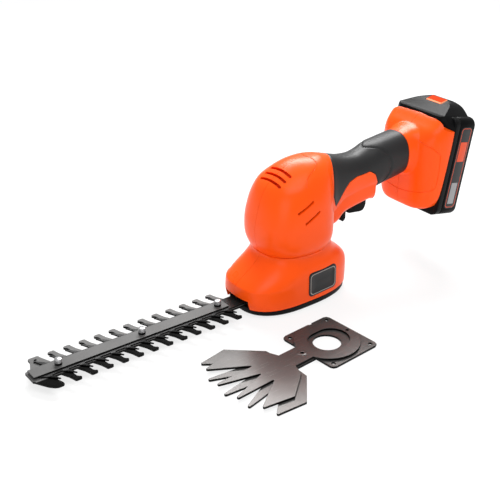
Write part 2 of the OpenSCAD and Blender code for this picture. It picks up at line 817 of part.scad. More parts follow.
// Motor
module at_motor(z) {
    translate([motor_x, 0, z]) children();
}
module motor_can() {
    color(STEEL) difference() {
        union() {
            at_motor(can_z) cylinder(d = motor_d, h = motor_l);
            at_motor(can_z - frame_t + 1) cylinder(d = motor_boss_d, h = frame_t);
        }
        at_motor(can_z + 2) cylinder(d = motor_d - 2 * can_t, h = motor_l);
        at_motor(can_z - frame_t) cylinder(d = motor_bush_d + 2 * run_gap, h = frame_t + 9);
        for (s = [-1, 1]) translate([motor_x, s * motor_screw_r, can_z - 1])
            cylinder(d = motor_screw_d + 0.1, h = 9);
    }
}
module motor_magnets() {
    r1 = motor_d / 2 - can_t - run_gap;
    color(BLACK) for (a = [0, 180]) at_motor(can_z + 10) rotate([0, 0, a - 62]) rotate_extrude(angle = 124)
        translate([armature_d / 2 + 0.6, 0]) square([r1 - armature_d / 2 - 0.6, 34]);
}
module motor_end_cap() {
    color(BLACK) difference() {
        union() {
            at_motor(can_top) cylinder(d = motor_d, h = cap_h);
            for (s = [-1, 1]) at_motor(can_top)
                block3([-2, s * 8 - 0.4, cap_h - 1], [2, s * 8 + 0.4, cap_h + terminal_h]);
        }
        difference() {
            at_motor(can_top - 1) cylinder(d = motor_d - 2 * can_t - 2, h = cap_h - 1.6);
            for (s = [-1, 1]) at_motor(brush_z + brush_h)
                block3([-4, s > 0 ? 4.5 : -14, 0], [4, s > 0 ? 14 : -4.5, 9]);
        }
        at_motor(can_top - 1) cylinder(d = motor_bush_d + 2 * run_gap, h = cap_h + 9);
    }
}
module motor_brushes() {
    y0 = commutator_d / 2 + run_gap;
    color("#3a3a3a") for (a = [0, 180]) at_motor(brush_z) rotate([0, 0, a])
        block3([-2.5, y0, 0], [2.5, y0 + 7, brush_h]);
}
module motor_bushes() {
    color(BRASS) {
        at_motor(can_z - frame_t + 1) pipe(motor_bush_d, shaft_d + 2 * run_gap, frame_t + 1);
        at_motor(can_top + cap_h - 3.4) pipe(motor_bush_d, shaft_d + 2 * run_gap, 3.4);
    }
}
module motor_screws() {
    color(BRIGHT) for (s = [-1, 1]) translate([motor_x, s * motor_screw_r, frame_z - 2]) {
        cylinder(d = 5.4, h = 2);
        cylinder(d = motor_screw_d, h = frame_t + 3.6);
    }
}
module motor_shaft() {
    low = gear_z - 0.5;
    color(BRIGHT) at_motor(low) cylinder(d = shaft_d, h = can_top + cap_h + 0.5 - low);
}
module armature_core() {
    color(STEEL) at_motor(core_z) difference() {
        cylinder(d = armature_d, h = core_l);
        translate([0, 0, -1]) cylinder(d = shaft_d + 2 * run_gap, h = core_l + 2);
        for (k = [0:4]) rotate([0, 0, 72 * k]) block3([7, -1.5, -1], [armature_d, 1.5, core_l + 1]);
    }
}
module armature_windings() {
    color(COPPER) for (z = [core_z - winding_l, core_z + core_l]) at_motor(z) rotate_extrude()
        translate([shaft_d / 2 + 1, 0]) square([armature_d / 2 - shaft_d / 2 - 2, winding_l]);
}
module commutator() {
    color(COPPER) at_motor(commutator_z)
        pipe(commutator_d, shaft_d + 2 * run_gap, can_top + 1 - commutator_z);
}
module motor_pinion() {
    color(BRASS) at_motor(gear_z - 0.3) difference() {
        rotate([0, 0, pinion_teeth % 2 == 0 ? 180 / pinion_teeth : 0]) linear_extrude(gear_t + 0.6)
            gear_outline(pinion_teeth);
        translate([0, 0, -1]) cylinder(d = shaft_d + 2 * run_gap, h = gear_t + 3);
    }
}

// Switch and controls
module switch_body() {
    color(BLACK) difference() {
        union() {
            block3([switch_x0, -switch_half, switch_z0], [switch_x1, switch_half, switch_z1]);
            translate([lock_x0 - lock_travel - 1.5, 0, lock_pin_z]) rotate([0, 90, 0])
                cylinder(d = lock_pin_d, h = switch_x0 - lock_x0 + lock_travel + 2.5);
        }
        translate([plunger_x, 0, switch_z0 - 1]) cylinder(d = plunger_d + 2 * run_gap, h = 15);
    }
}
module trigger() {
    half = trigger_w / 2;
    color(BLACK) {
        across_y(half) polygon([
            [trigger_x0, trigger_head], [trigger_x0, 64], [trigger_x0 + 2, 62.4],
                [trigger_x1 - 6, trigger_low],
            [trigger_x1 - 2.5, trigger_low + 1], [trigger_x1, 66], [trigger_x1, trigger_head]
        ]);
        across_y(half + 2) polygon([
            [trigger_x0, trigger_head], [trigger_x0, trigger_head - 3], [trigger_x1, trigger_head - 3],
                [trigger_x1, trigger_head]
        ]);
        translate([plunger_x, 0, trigger_head - 1])
            cylinder(d = plunger_d, h = switch_z0 + 6 - trigger_head);
    }
}
module trigger_spring() {
    color(BRIGHT) translate([plunger_x, 0, trigger_head])
        coil(plunger_d + 3.6, 0.9, switch_z0 - trigger_head, 5);
}
module lock_off_button() {
    color(BLACK) difference() {
        union() {
            block3([lock_x0, -lock_half, lock_low + 2], [lock_x0 + lock_l, lock_half, lock_pin_z + 5]);
            translate([lock_x0 + lock_l / 2, lock_half, lock_low + 2]) rotate([90, 0, 0])
                cylinder(d = lock_l, h = 2 * lock_half);
        }
        translate([lock_x0 - 1, 0, lock_pin_z]) rotate([0, 90, 0])
            cylinder(d = lock_pin_d + 2 * run_gap, h = lock_l + 2);
    }
}

// Leads, along routes chosen by hand
lead_d = 2.2;
terminal_top = can_top + cap_h + terminal_h;
module motor_leads() {
    color("#a02020") for (s = [-1, 1]) tube([
        [motor_x, s * 8, terminal_top + 0.05], [motor_x + 1, s * 8, 98], [30, s * 8, 103],
            [42, s * 7.5, 107],
        [56, s * 6.5, 108], [68, s * 6, 107], [switch_x0 - 0.05, s * 6, 107]
    ], lead_d / 2);
}
module battery_leads() {
    color("#a02020") for (s = [-1, 1]) tube([
        [switch_x1 + 0.05, s * 5, 107], [108, s * 5.5, 109], [122, s * 7, 110], [136, s * 8, 108],
        [146, s * 8, 104], [154, s * 8, 100], [159.9, s * 8, 98]
    ], lead_d / 2);
}

// Battery receiver: a T-channel that the pack's tongue slides down into
module battery_receiver() {
    color(BLACK) on_pack() difference() {
        union() {
            along_u(receiver_back, -slip_gap)
                round_rect(-receiver_half, receiver_half, receiver_bottom, receiver_top, 2);
            along_u(-wall - 2.7, -wall - 0.1)
                round_rect(-flange_half, flange_half, receiver_bottom - 3, receiver_top - 4, 2);
        }
        block3([tongue_back - slip_gap, -tongue_half - slip_gap, channel_floor],
            [lip_u + slip_gap, tongue_half + slip_gap, 60]);
        block3([lip_u, -stem_half - slip_gap, channel_floor], [5, stem_half + slip_gap, 60]);
    }
}
module receiver_blades() {
    color(BRASS) on_pack() for (s = [-1, 1])
        block3([tongue_back + 0.3, s * contact_side - contact_t / 2, channel_floor],
            [lip_u - 0.2, s * contact_side + contact_t / 2, channel_floor + contact_l]);
}

// Hedge blade plates
function comb_tooth(x) = [
    [x + root_front, spine_half], [x + 0.9, comb_half - 4.3], [x, comb_half - 1.9],
        [x + 0.3, comb_half - 0.6],
    [x + 1.2, comb_half], [x + tip_w - 1, comb_half], [x + tip_w, comb_half - 0.8],
        [x + tip_w + 0.2, comb_half - 2.2],
    [x + root_rear, spine_half]
];
// The near side is the far side turned half a turn about the tooth's own middle
function turned(points, x) = [for (k = [len(points) - 1:-1:0]) [2 * x + tip_w - points[k][0],
    -points[k][1]]];
function tooth_x(i) = -last_tooth - tooth_pitch * (tooth_count - i);
module comb_outline() {
    x0 = nose_tooth;
    near = [for (i = [0:tooth_count]) each turned(comb_tooth(tooth_x(i)), tooth_x(i))];
    far = [for (i = [tooth_count:-1:1]) let (t = comb_tooth(tooth_x(i)))
        each [for (k = [len(t) - 1:-1:0]) t[k]]];
    nose = [
        [x0 + root_rear, spine_half], [x0 + tip_w + 0.2, comb_half - 2.2], [x0 + tip_w, comb_half - 0.8],
        [x0 + tip_w - 1, comb_half], [x0 - 3, comb_half], [x0 - 4, comb_half - 1],
            [x0 - 4.3, comb_half - 5],
        [x0 - 8.5, spine_half], [nose_x + 1.5, bar_w / 2 + 1], [nose_x, bar_w / 2 - 1],
            [nose_x, -bar_w / 2 + 1],
        [nose_x + 1.5, -bar_w / 2 - 1]
    ];
    polygon(concat(near, [[-plate_front + 2, -spine_half], [-plate_front + 2, spine_half]], far, nose));
}
module guard_comb() {
    color(STEEL) translate([0, 0, comb_z]) difference() {
        linear_extrude(comb_t) {
            comb_outline();
            round_rect(-plate_front, plate_l - plate_front, -plate_w / 2, plate_w / 2, plate_r);
        }
        translate([0, 0, -1]) cylinder(d = drive_hole_d, h = comb_t + 2);
        for (p = pin_places) translate([p[0], p[1], -1]) cylinder(d = pin_d + 2 * run_gap, h = comb_t + 2);
        for (x = bolt_x) translate([x, 0, -1]) cylinder(d = bolt_d + 2 * run_gap, h = comb_t + 2);
    }
}
cutter_spine = neck_w / 2 - 0.8;
cutter_lead = 2.3;
cutter_root = 6.4;
cutter_lag = 2.1;
function cutter_tooth(x) = [
    [x + 1.4, cutter_spine], [x - cutter_lead + 0.9, cutter_reach - 1.6],
        [x - cutter_lead, cutter_reach - 0.2],
    [x - cutter_lead + 0.8, cutter_reach], [x + cutter_root, cutter_spine]
];
window_half_x = throw * 2 + roller_d / 2 + slip_gap + 0.2;
window_half_y = throw + roller_d / 2 + slip_gap + 1;
yoke_half_x = window_half_x + 7;
yoke_half_y = window_half_y + 6.5;
module cutter_outline() {
    near = [for (i = [0:tooth_count])
        each [for (p = turned(cutter_tooth(tooth_x(i)), tooth_x(i))) p - [cutter_lag, 0]]];
    far = [for (i = [tooth_count:-1:0]) let (t = cutter_tooth(tooth_x(i)))
        each [for (k = [len(t) - 1:-1:0]) t[k]]];
    front = nose_x + throw + 1.5;
    polygon(concat(near, [[-10, -cutter_spine], [-10, cutter_spine]], far,
        [[front + 1, cutter_spine - 2], [front, 0], [front + 1, -cutter_spine + 2]]));
}
module cutter_blade() {
    slot_l = spacer_d + stroke + 2 * slip_gap;
    color(STEEL) translate([0, 0, cutter_z]) difference() {
        linear_extrude(cutter_t) difference() {
            union() {
                cutter_outline();
                round_rect(-yoke_half_x, yoke_half_x, -yoke_half_y, yoke_half_y, 5);
            }
            square([2 * window_half_x, 2 * window_half_y], center = true);
        }
        for (x = bolt_x) translate([x, 0, -1]) linear_extrude(cutter_t + 2)
            slot_outline(slot_l, spacer_d + 2 * run_gap + 0.1);
    }
}
module blade_bar() {
    color(STEEL) translate([0, 0, bar_z]) difference() {
        linear_extrude(bar_t) round_rect(nose_x + 1.5, rear_bolt + 8, -bar_w / 2, bar_w / 2, 2.5);
        for (x = bolt_x) translate([x, 0, -1]) cylinder(d = bolt_d + 2 * run_gap, h = bar_t + 2);
    }
}
module blade_bolts() {
    color(BRIGHT) for (x = bolt_x) translate([x, 0, 0]) {
        translate([0, 0, comb_z - nut_h]) cylinder(d = bolt_d, h = bar_top - comb_z + nut_h + 1);
        translate([0, 0, bar_top]) cylinder(d = bolt_head_d, h = bolt_head_h - 1);
        translate([0, 0, bar_top + bolt_head_h - 1])
            cylinder(d1 = bolt_head_d, d2 = bolt_head_d - 1.6, h = 1);
    }
}
module blade_nuts() {
    color(BRIGHT) for (x = bolt_x) translate([x, 0, comb_z - nut_h]) difference() {
        cylinder(d = 2 * bolt_d, h = nut_h, $fn = 6);
        translate([0, 0, -1]) cylinder(d = bolt_d + 2 * run_gap, h = nut_h + 2);
    }
}
module blade_spacers() {
    color(BRIGHT) for (x = bolt_x) translate([x, 0, comb_z + comb_t])
        pipe(spacer_d, bolt_d + 2 * run_gap, bar_z - comb_z - comb_t);
}

// Battery pack
module case_outline(inset) {
    round_rect(-pack_half_w + inset, pack_half_w - inset, case_bottom + inset, case_top - inset,
        case_r - inset);
}
module battery_cover() {
    color(BLACK) on_pack() difference() {
        union() {
            difference() {
                along_u(cover_u, tray_u) case_outline(0);
                along_u(cover_u + case_t, tray_u + 1) case_outline(case_t);
            }
            block3([tongue_back, -tongue_half, channel_floor + slip_gap], [lip_u, tongue_half, seat_w]);
            block3([lip_u - 1, -stem_half, channel_floor + slip_gap], [cover_u + 1, stem_half, seat_w]);
            intersection() {
                across_y(60) polygon([
                    [-cap_reach, seat_w], [-cap_reach, seat_w + 1.6], [-cap_reach + 2, seat_w + 3.2],
                    [cap_peak - 4.5, cap_h_top - 0.6], [cap_peak, cap_h_top], [cap_peak + 5, cap_h_top - 2],
                    [cap_rear, cap_h_top - 6], [cap_rear, case_top], [cover_u, case_top], [cover_u, seat_w]
                ]);
                along_u(-40, 60) polygon(both_sides(cap_half, 0));
                translate([0, 0, seat_w - 1]) linear_extrude(40) polygon(both_sides(cap_plan, 1));
            }
        }
        block3([tongue_back + 1.7, -stem_half + 2, -6],
            [cover_u + case_t + 1, stem_half - 2, seat_w - 2.5]);
        for (s = [-1, 1]) block3([tongue_back - 1, s * contact_side - 1, channel_floor - 1],
            [lip_u + 0.2, s * contact_side + 1, channel_floor + contact_l + 6]);
        block3([latch_u - latch_l / 2 - slip_gap, -latch_w / 2 - slip_gap, latch_floor],
            [latch_u + latch_l / 2 + slip_gap, latch_w / 2 + slip_gap, 90]);
    }
}
module battery_tray() {
    color(BLACK) on_pack() difference() {
        along_u(tray_u, case_rear) case_outline(0);
        along_u(tray_u - 1, case_rear - case_t) case_outline(case_t);
    }
}
cell_u = case_rear - case_t - 0.2 - cell_d / 2;
function cell_w(k) = case_bottom + case_t + 0.1 + (cell_d + 0.1) * k + cell_d / 2;
module battery_cells() {
    color("#3c6ea0") on_pack() for (k = [0:cell_count - 1])
        translate([cell_u, cell_l / 2, cell_w(k)]) rotate([90, 0, 0]) cylinder(d = cell_d, h = cell_l);
}
module cell_straps() {
    color(BRIGHT) on_pack() for (s = [-1, 1], k = [(s > 0 ? 0 : 1):2:cell_count - 2]) {
        y = s * (cell_l / 2 + 0.15);
        block3([cell_u - 4, y - 0.15, cell_w(k) - 4], [cell_u + 4, y + 0.15, cell_w(k + 1) + 4]);
    }
}
module battery_contacts() {
    color(BRASS) on_pack() for (s = [-1, 1])
        block3([tongue_back + 0.3, s * contact_side - 0.9, channel_floor + contact_l + 2],
            [lip_u, s * contact_side + 0.9, channel_floor + contact_l + 6]);
}
module battery_board() {
    color("#206030") on_pack() block3([cover_u + case_t, -28, -30], [cover_u + case_t + 1.6, 28, 30]);
}
module battery_labels() {
    color("#303030") on_pack() for (s = [-1, 1])
        translate([0, s * pack_half_w - (s > 0 ? 0 : label_t), 0]) rotate([-90, 0, 0])
        linear_extrude(label_t) round_rect(tray_u + 4, case_rear - 3, -case_top + 8, -case_bottom - 8, 4);
}
module latch_button() {
    low = latch_floor + latch_travel + slip_gap + 0.2;
    color(ORANGE) on_pack() across_y(latch_w / 2) polygon([
        [latch_u - latch_l / 2, low], [latch_u + latch_l / 2, low],
            [latch_u + latch_l / 2, cap_h_top + 0.5],
        [latch_u - latch_l / 2, cap_h_top - 3.1]
    ]);
}

// Grass-shear blade set, drawn from its drive hole and laid on the floor
module at_shear(z) {
    translate([shear_x, -shear_side, z]) rotate([0, 0, shear_turn]) children();
}
// A point at an angle from the blade's own line, about the rivet
function fan(r, a) = [shear_rivet_x - r * cos(a), r * sin(a)];
function shear_tooth(a, reach) = [
    fan(shear_root, a + shear_step / 2 - shear_slot), fan(reach - 1, a + shear_tip),
        fan(reach, a + shear_tip / 2),
    fan(reach, a - shear_tip / 2), fan(reach - 1, a - shear_tip),
        fan(shear_root, a - shear_step / 2 + shear_slot)
];
// The neck, the shoulders and the teeth in one outline
module shear_head(teeth, reach, flare, flare_angle, neck) {
    first = (teeth - 1) / 2;
    edge = [
        [0, neck], [shear_rivet_x - 17, neck], fan(shear_shoulder, flare_angle + 4), fan(flare, flare_angle)
    ];
    fingers = [for (k = [first:-1:-first]) each shear_tooth(k * shear_step, reach)];
    inner = [for (k = [1:len(fingers) - 2]) fingers[k]];
    polygon(concat(edge, inner, [for (k = [3:-1:0]) [edge[k][0], -edge[k][1]]]));
}
module shear_comb() {
    color(STEEL) at_shear(0) difference() {
        linear_extrude(shear_t) difference() {
            union() {
                round_rect(-plate_front, plate_l - plate_front, -shear_plate_w / 2, shear_plate_w / 2, 4);
                shear_head(5, shear_reach, shear_flare, 2 * shear_step + shear_margin, shear_neck / 2);
            }
            translate([8, shear_plate_w / 2 - 3]) square([4, 9]);
            for (x = [-plate_front + 5, plate_l - plate_front - 5], y = [-1, 1])
                translate([x, y * (shear_plate_w / 2 - 5)]) circle(d = 3.4);
        }
        translate([0, 0, -1]) cylinder(d = drive_hole_d, h = shear_t + 2);
        translate([shear_rivet_x, 0, 0]) rivet_form(run_gap);
    }
}
module shear_cutter() {
    color(STEEL) at_shear(shear_z2) difference() {
        linear_extrude(shear_t) difference() {
            union() {
                circle(d = shear_ring_d);
                shear_head(4, shear_reach - 2, shear_flare - 4, 1.5 * shear_step + shear_margin,
                    shear_neck / 2 - 1);
            }
            translate([2, 0]) slot_outline(38, 30);
            translate([shear_ring_d / 2 - ring_hole_d - 0.5, 0]) circle(d = ring_hole_d);
        }
        translate([shear_rivet_x, 0, -shear_z2]) rivet_form(run_gap);
    }
}
// A hollow rivet, flush with both plates; grow leaves it room in them
module rivet_form(grow) {
    top = shear_z2 + shear_t;
    cylinder(d = rivet_d + 2 * grow, h = top);
    cylinder(d1 = rivet_head_d + 2 * grow, d2 = rivet_d + 2 * grow, h = rivet_sink);
    translate([0, 0, top - rivet_sink])
        cylinder(d1 = rivet_d + 2 * grow, d2 = rivet_head_d + 2 * grow, h = rivet_sink);
}
module shear_rivet() {
    color(BRIGHT) at_shear(0) translate([shear_rivet_x, 0, 0]) difference() {
        rivet_form(0);
        translate([0, 0, -1]) cylinder(d = rivet_bore_d, h = shear_z2 + shear_t + 2);
    }
}

left_housing();
right_housing();
left_grip();
right_grip();
left_badge();
right_badge();
housing_screws();
sole_plate();
sole_latch();
gear_frame();
locating_pins();
gear_axle();
axle_clip();
gear_bush();
drive_gear();
crank_disc();
crank_roller();
motor_can();
motor_magnets();
motor_end_cap();
motor_brushes();
motor_bushes();
motor_screws();
motor_shaft();
armature_core();
armature_windings();
commutator();
motor_pinion();
switch_body();
trigger();
trigger_spring();
lock_off_button();
motor_leads();
battery_leads();
battery_receiver();
receiver_blades();
guard_comb();
cutter_blade();
blade_bar();
blade_bolts();
blade_nuts();
blade_spacers();
battery_cover();
battery_tray();
battery_cells();
cell_straps();
battery_contacts();
battery_board();
battery_labels();
latch_button();
shear_comb();
shear_cutter();
shear_rivet();
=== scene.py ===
"""Looks for a cordless grass-shears part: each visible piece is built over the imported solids, in the same frame."""

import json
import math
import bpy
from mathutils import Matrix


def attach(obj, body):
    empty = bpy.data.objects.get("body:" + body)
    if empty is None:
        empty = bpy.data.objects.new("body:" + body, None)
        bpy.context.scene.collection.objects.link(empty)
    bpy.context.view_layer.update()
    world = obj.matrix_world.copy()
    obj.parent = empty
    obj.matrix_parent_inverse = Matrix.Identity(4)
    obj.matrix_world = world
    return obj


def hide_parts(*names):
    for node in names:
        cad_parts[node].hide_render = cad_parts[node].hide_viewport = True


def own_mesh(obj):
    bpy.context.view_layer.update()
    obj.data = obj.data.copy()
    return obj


bl_info = {
    "name": "Cordless grass shears",
    "version": (1, 0, 0),
    "blender": (4, 5, 0),
    "location": "View3D > Sidebar > Shears",
    "description": "Builds the housing, grip, blades, battery pack and studio of a cordless grass-shears part",
    "category": "Object",
}

import bmesh
import bpy
import numpy as np
from bpy.props import FloatProperty, FloatVectorProperty, IntProperty, PointerProperty
from mathutils import Matrix, Vector

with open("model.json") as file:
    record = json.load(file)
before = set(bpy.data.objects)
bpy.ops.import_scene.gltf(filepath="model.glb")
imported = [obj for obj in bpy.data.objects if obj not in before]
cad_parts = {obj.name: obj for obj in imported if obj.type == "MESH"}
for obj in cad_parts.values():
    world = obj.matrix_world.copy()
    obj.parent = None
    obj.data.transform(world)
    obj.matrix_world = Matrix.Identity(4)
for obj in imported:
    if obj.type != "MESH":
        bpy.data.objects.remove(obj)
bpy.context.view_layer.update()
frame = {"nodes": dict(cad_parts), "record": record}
MM = 0.001
RING_POINTS = 128
HANDS = ((-1, "left"), (1, "right"))

# Sizes below are in millimetres, as in the part's source.
SOLE_H = 7.0
SHOULDER = 24.0
WALL = 2.6
GRIP_T = 2.0
WIDEST_X = 4.0
BASE_FRONT = 2.75
BASE_TAIL = 2.7
DOME_X = 11.5
HANDLE_ROUND = 2.3
TRIGGER_ROUND = 3.2
FLARE_ROUND = 2.5
BLOCK_ROUND = 6.0

# Levels of the base and the dome: height, front, rear, half width, front roundness
BASE_LEVELS = [
    (3, -47, 67, 36, BASE_FRONT), (SOLE_H, -47, 67, 36, BASE_FRONT), (14, -49, 67.5, 36, BASE_FRONT),
    (SHOULDER + 0.6, -48.4, 67.5, 36, 2.7), (SHOULDER + 2.2, -47.3, 67.5, 35.95, 2.65), (29.6, -43.2, 67, 35.7, 2.5),
    (33, -38, 65.5, 35.2, 2.4), (37.5, -31.5, 61, 34, 2.3), (42, -26, 55, 32.2, 2.3), (46, -22.5, 52, 30.8, 2.3),
    (51, -21, 49.5, 29.5, 2.3),
]
DOME_LEVELS = [
    (47, -20.2, 44.8, 28.2, 2.3), (54, -23.8, 47.5, 33.6, 2.4), (63, -26.4, 48, 36.2, 2.5),
    (75, -26.8, 48, 36.5, 2.5), (84, -25.4, 48, 36, 2.5), (98.7, -21.4, 48, 34, 2.45),
    (110.4, -15.4, 48, 30, 2.4), (118, -6, 49, 25, 2.3), (124, 4, 48, 18.5, 2.2),
    (127.8, 13, 44, 11, 2.1), (129.2, 22, 40, 5, 2.0),
]
# Stations of the handle, the trigger housing, the flare and the rear block: place, top, bottom, half width
HANDLE = [
    (24, 127.5, 60, 24), (36, 128.6, 61, 23), (45, 127.5, 63, 21.2), (52, 125.2, 66, 19), (61, 122.2, 74, 18),
    (70, 120, 77, 17.5), (83, 119, 79, 17), (94, 121, 80.5, 17.3), (104, 124.5, 82, 17.8), (115, 126, 84, 18),
    (128, 127.4, 86, 18.2), (140, 128.4, 88, 18.4), (152, 128.6, 89, 18.4),
]
TRIGGER_BOX = [
    (36, 96, 56, 16), (50, 96, 57, 15.5), (58, 96, 59, 15), (66, 96, 66.5, 15), (80, 96, 70, 15),
    (97, 96, 72.5, 15), (102, 96, 71, 14), (104.5, 93, 76, 11),
]
FLARE = [
    (136, 127.6, 87.8, 17.6), (141, 128.6, 87, 18.8), (146, 129.6, 84.5, 20.4), (151, 130.8, 80, 23.6),
    (157, 132, 73, 28), (163, 133, 66, 31),
]
BLOCK = [
    (145.4, 111, 59, 13), (146.4, 116.5, 55, 19.5), (148.2, 121.5, 52.8, 24.6), (150.5, 125, 52, 28.5),
    (155, 130.6, 51.8, 33.5), (160, 135, 52.5, 36.3), (166.6, 140.5, 54, 37.8), (173, 143, 56, 38), (190, 145, 58, 38),
]
# The box on the dome's top where several forms meet, as two corners
CROWN = ((-12, -24, 114), (46, 24, 135))
# The parting groove under the dome: its two heights, and the insets of its floor and mouth
WAIST_Z = (50.6, 51.4)
WAIST_INSET = (1.2, -6.0)
# Moulded lines on the left half: the dome's starts at the middle, and the block's ends there
DOME_LINE = [
    (26.4, -0.4, 129.2), (28.8, -5.3, 128.9), (29.2, -10.9, 127.7), (28, -15, 125.9), (24, -18.1, 124.1),
    (17.8, -20.6, 121.8), (12.5, -22.7, 119.1), (9.4, -25.3, 116.1), (7.4, -27.4, 113.3),
]
BLOCK_LINE = [
    (148.3, -18.5, 121.9), (151, -27.6, 118.3), (153.9, -31.9, 116.8), (157.9, -35.3, 112.5), (160.6, -36.5, 108.8),
    (160.6, -36.5, 99.9), (159.7, -36.2, 85.7), (158.7, -35.7, 78.5), (155.6, -33.9, 74.9), (150.7, -28.7, 72.7),
    (145.8, -16, 70.3), (145.4, -0.4, 68.3),
]
LINE_RADIUS = 0.42
# Vents over the dome's front and on its sides: count, radius, the first one's place and the way to the next
FRONT_VENTS, FRONT_VENT_RADIUS, FRONT_VENT_PLACE, FRONT_VENT_STEP = 3, 1.25, (1, 120), (5.4, 3.6)
FRONT_VENT_HALF, FRONT_VENT_BOW = 13, 0.006
SIDE_VENTS, SIDE_VENT_RADIUS, SIDE_VENT_PLACE, SIDE_VENT_STEP = 2, 1.1, (-4.3, 34, 93.8), (6, 10)
SIDE_VENT_RUN = Vector((14.5, 0, 7.4))
# The housing's openings, as two corners
BLADE_SLOT = ((-66, -16.5, 0), (-30, 16.5, 15.5))
CATCH_WINDOW = ((45, -8, SOLE_H + 1.6), (90, 8, SOLE_H + 8.4))
CONTROL_SLOT = (64.9, 98.7, -6.9, 6.9, 1.2)
RECEIVER_WINDOW = ((-WALL - 2, -22.5, -31.5), (9, 22.5, 90))
TONGUE_WINDOW = ((-7.05, -20.05, 40), (9, 20.05, 90))
LOUVRE_WALL = ((-17, -17, 106), (9, 17, 140))
# Housing screws: place, height, the head's outer face from the seam
SCREWS = [
    (-33, 26.3, 17), (56.6, 22.3, 17), (-7.7, 103.3, 19), (50.3, 85.3, 9), (112.3, 97.3, 8), (156.4, 112, 18),
]
SCREW_STEPS = [(1.5, -18.5), (1.5, -2.4), (2.8, -2.4), (2.8, -0.5), (2.3, 0)]
SCREW_DRIVE = [(1.3, -1.2), (1.3, 1)]
SCREW_HOLE, HEAD_HOLE, HEAD_DEPTH = 1.7, 3.2, 2.6
BOSS_RADIUS = 4.2

# The grip's lower edge: place along the handle and angle round it
GRIP_EDGE = np.array([
    (44, -2), (50, -27), (60.6, -6), (66.3, 3.5), (75.3, 10.6), (90.7, 10), (97.4, -3), (102, -32), (104.5, -90),
])
GRIP_FRONT_TOP = 52.8
GRIP_FRONT_SIDE = 44.0
GRIP_REAR = 138.0
GRIP_SEAM = 0.06
# The grip's face: its rounded rim, and the groove and step that sweep across it
GRIP_LENGTH, GRIP_GIRTH, GRIP_RISE = 92, 34, 0.25
RIM_DROP, RIM_WIDTH = 0.9, 1.4
STEP_X, STEP_SWEEP, STEP_CURVE, STEP_RISE, STEP_WIDTH = 96.0, 20.0, 1.4, 0.35, 1.2
GROOVE_DEPTH, GROOVE_WIDTH = 0.9, 0.6
RECESS_REACH = 9.0
RECESS_GROW = 0.15

# Bare plates on the base's walls: middle and half size in place and height, and steps of inset and lift
BADGE_X, BADGE_Z = 23, 22.5
BADGE_HALF_X, BADGE_HALF_Z = 17, 11.5
BADGE_STEPS = [(0.0, 0.1), (0.0, 0.5), (0.35, 0.78), (1.5, 0.78), (2.2, 0.7), (2.5, 0.5), (9.5, 0.55)]
BADGE_RIM_STEP = 3

# Sole, from steps of height and inset, its catch, and the controls from the side
SOLE_FRONT, SOLE_REAR, SOLE_HALF, SOLE_NOSE = -45.5, 66, 35.7, 2.45
SOLE_STEPS = [(0, 2.6), (0.5, 1.6), (1.4, 0.7), (2.6, 0.1), (SOLE_H - 0.4, 0), (SOLE_H, 0.4)]
SOLE_HOLLOW = [(3, 5), (14, 5)]
SOLE_FLOOR = 1.5
HEEL = [(50, -3), (50, 0), (68, 9), (99, 9), (99, -3)]
CATCH = [(54, 9), (67.8, 9), (67.8, 15), (54, 15)]
CATCH_GROOVES = (10.5, 12, 13.5)
TRIGGER_SIDE = [(75.3, 83.5), (75.3, 64), (77.3, 62.4), (84, 61.6), (92, 60.5), (95.5, 61.5), (98, 66), (98, 83.5)]
TRIGGER_FLANGE = ((75.4, -8.5, 80.5), (97.9, 8.5, 83.5))
TRIGGER_PLUNGER = ((88, 0, 82.5), (88, 0, 98), 2.5)
LOCK_BORE = ((60, 0, 98), (80, 0, 98), 2.05)
LOCK_TAB = [(68.5, 103), (68.5, 58.4), (69.6, 56.4), (71.5, 55.05), (73.4, 56.4), (74.5, 58.4), (74.5, 103)]

# Edges of a blade plate that bend more than this many degrees stay sharp
PLATE_ANGLE = 12

# Hedge blade
TOOTH_PITCH = 14.0
TOOTH_COUNT = 12
LAST_TOOTH = 64.0
TIP_W = 5.2
COMB_HALF = 24.3
SPINE_HALF = 9.4
BAR_W = 12.4
NOSE_TOOTH = -LAST_TOOTH - TOOTH_PITCH * TOOTH_COUNT
NOSE_X = NOSE_TOOTH - TOOTH_PITCH
BOLT_X = [-67.4 - 76.5 * i for i in range(3)]
COMB_T, CUTTER_T, BAR_T = 2.0, 1.2, 1.2
CUTTER_Z, BAR_Z = 9.05, 10.3
NUT_Z, NUT_T = 4.2, 2.8
SPACER_Z, SPACER_T = 9.0, 1.3
BOLT_HOLE, PIN_HOLE = 2.05, 2.55
# Height under which a bolt is darkened as painted shadow, and the bolt's steps of radius and height
BOLT_SHADOW_LINE = 13.4
BOLT_STEPS = [(2.0, 4.2), (2.0, 11.5), (3.1, 11.5), (3.1, BOLT_SHADOW_LINE), (3.1, 16.0), (2.9, 16.6), (2.3, 17.0)]
PINS = [(x, y) for x in (-17, 24) for y in (-23, 23)]
DRIVE_HOLE = 12
YOKE_HALF = [(-19.5, -8.6), (-19.5, -13), (-15, -16.3), (15, -16.3), (19.5, -13)]
YOKE_WINDOW = [(-12.5, -9.8), (12.5, -9.8), (12.5, 9.8), (-12.5, 9.8)]

# Battery pack, in its own leaning frame
PACK_TILT = math.radians(11)
PACK_PLACE = Vector((169, 0, 95))
CASE_BOTTOM = -48.6
CASE_TOP = 47.4
CASE_ROUND = 8.0
PACK_HALF = 37.5
SEAT = CASE_TOP - 2.6
SEAT_ARCH = 9.5
CAP_TOP = CASE_TOP + 11
CAP_REACH = 11.0
LATCH_FLOOR = CASE_TOP + 1.6
LATCH_U = (5.0, 14.0)
LATCH_HALF = 10
# The cover's stem and tongue, which slide in the housing, as two corners
PACK_STEM = ((-4.3, -15.7, -27.7), (1.4, 15.7, SEAT))
PACK_TONGUE = ((-6.7, -19.7, -27.7), (-3.3, 19.7, SEAT))
STEM_HOLLOW = ((-5, -13.7, -6), (3.6, 13.7, 42.3))
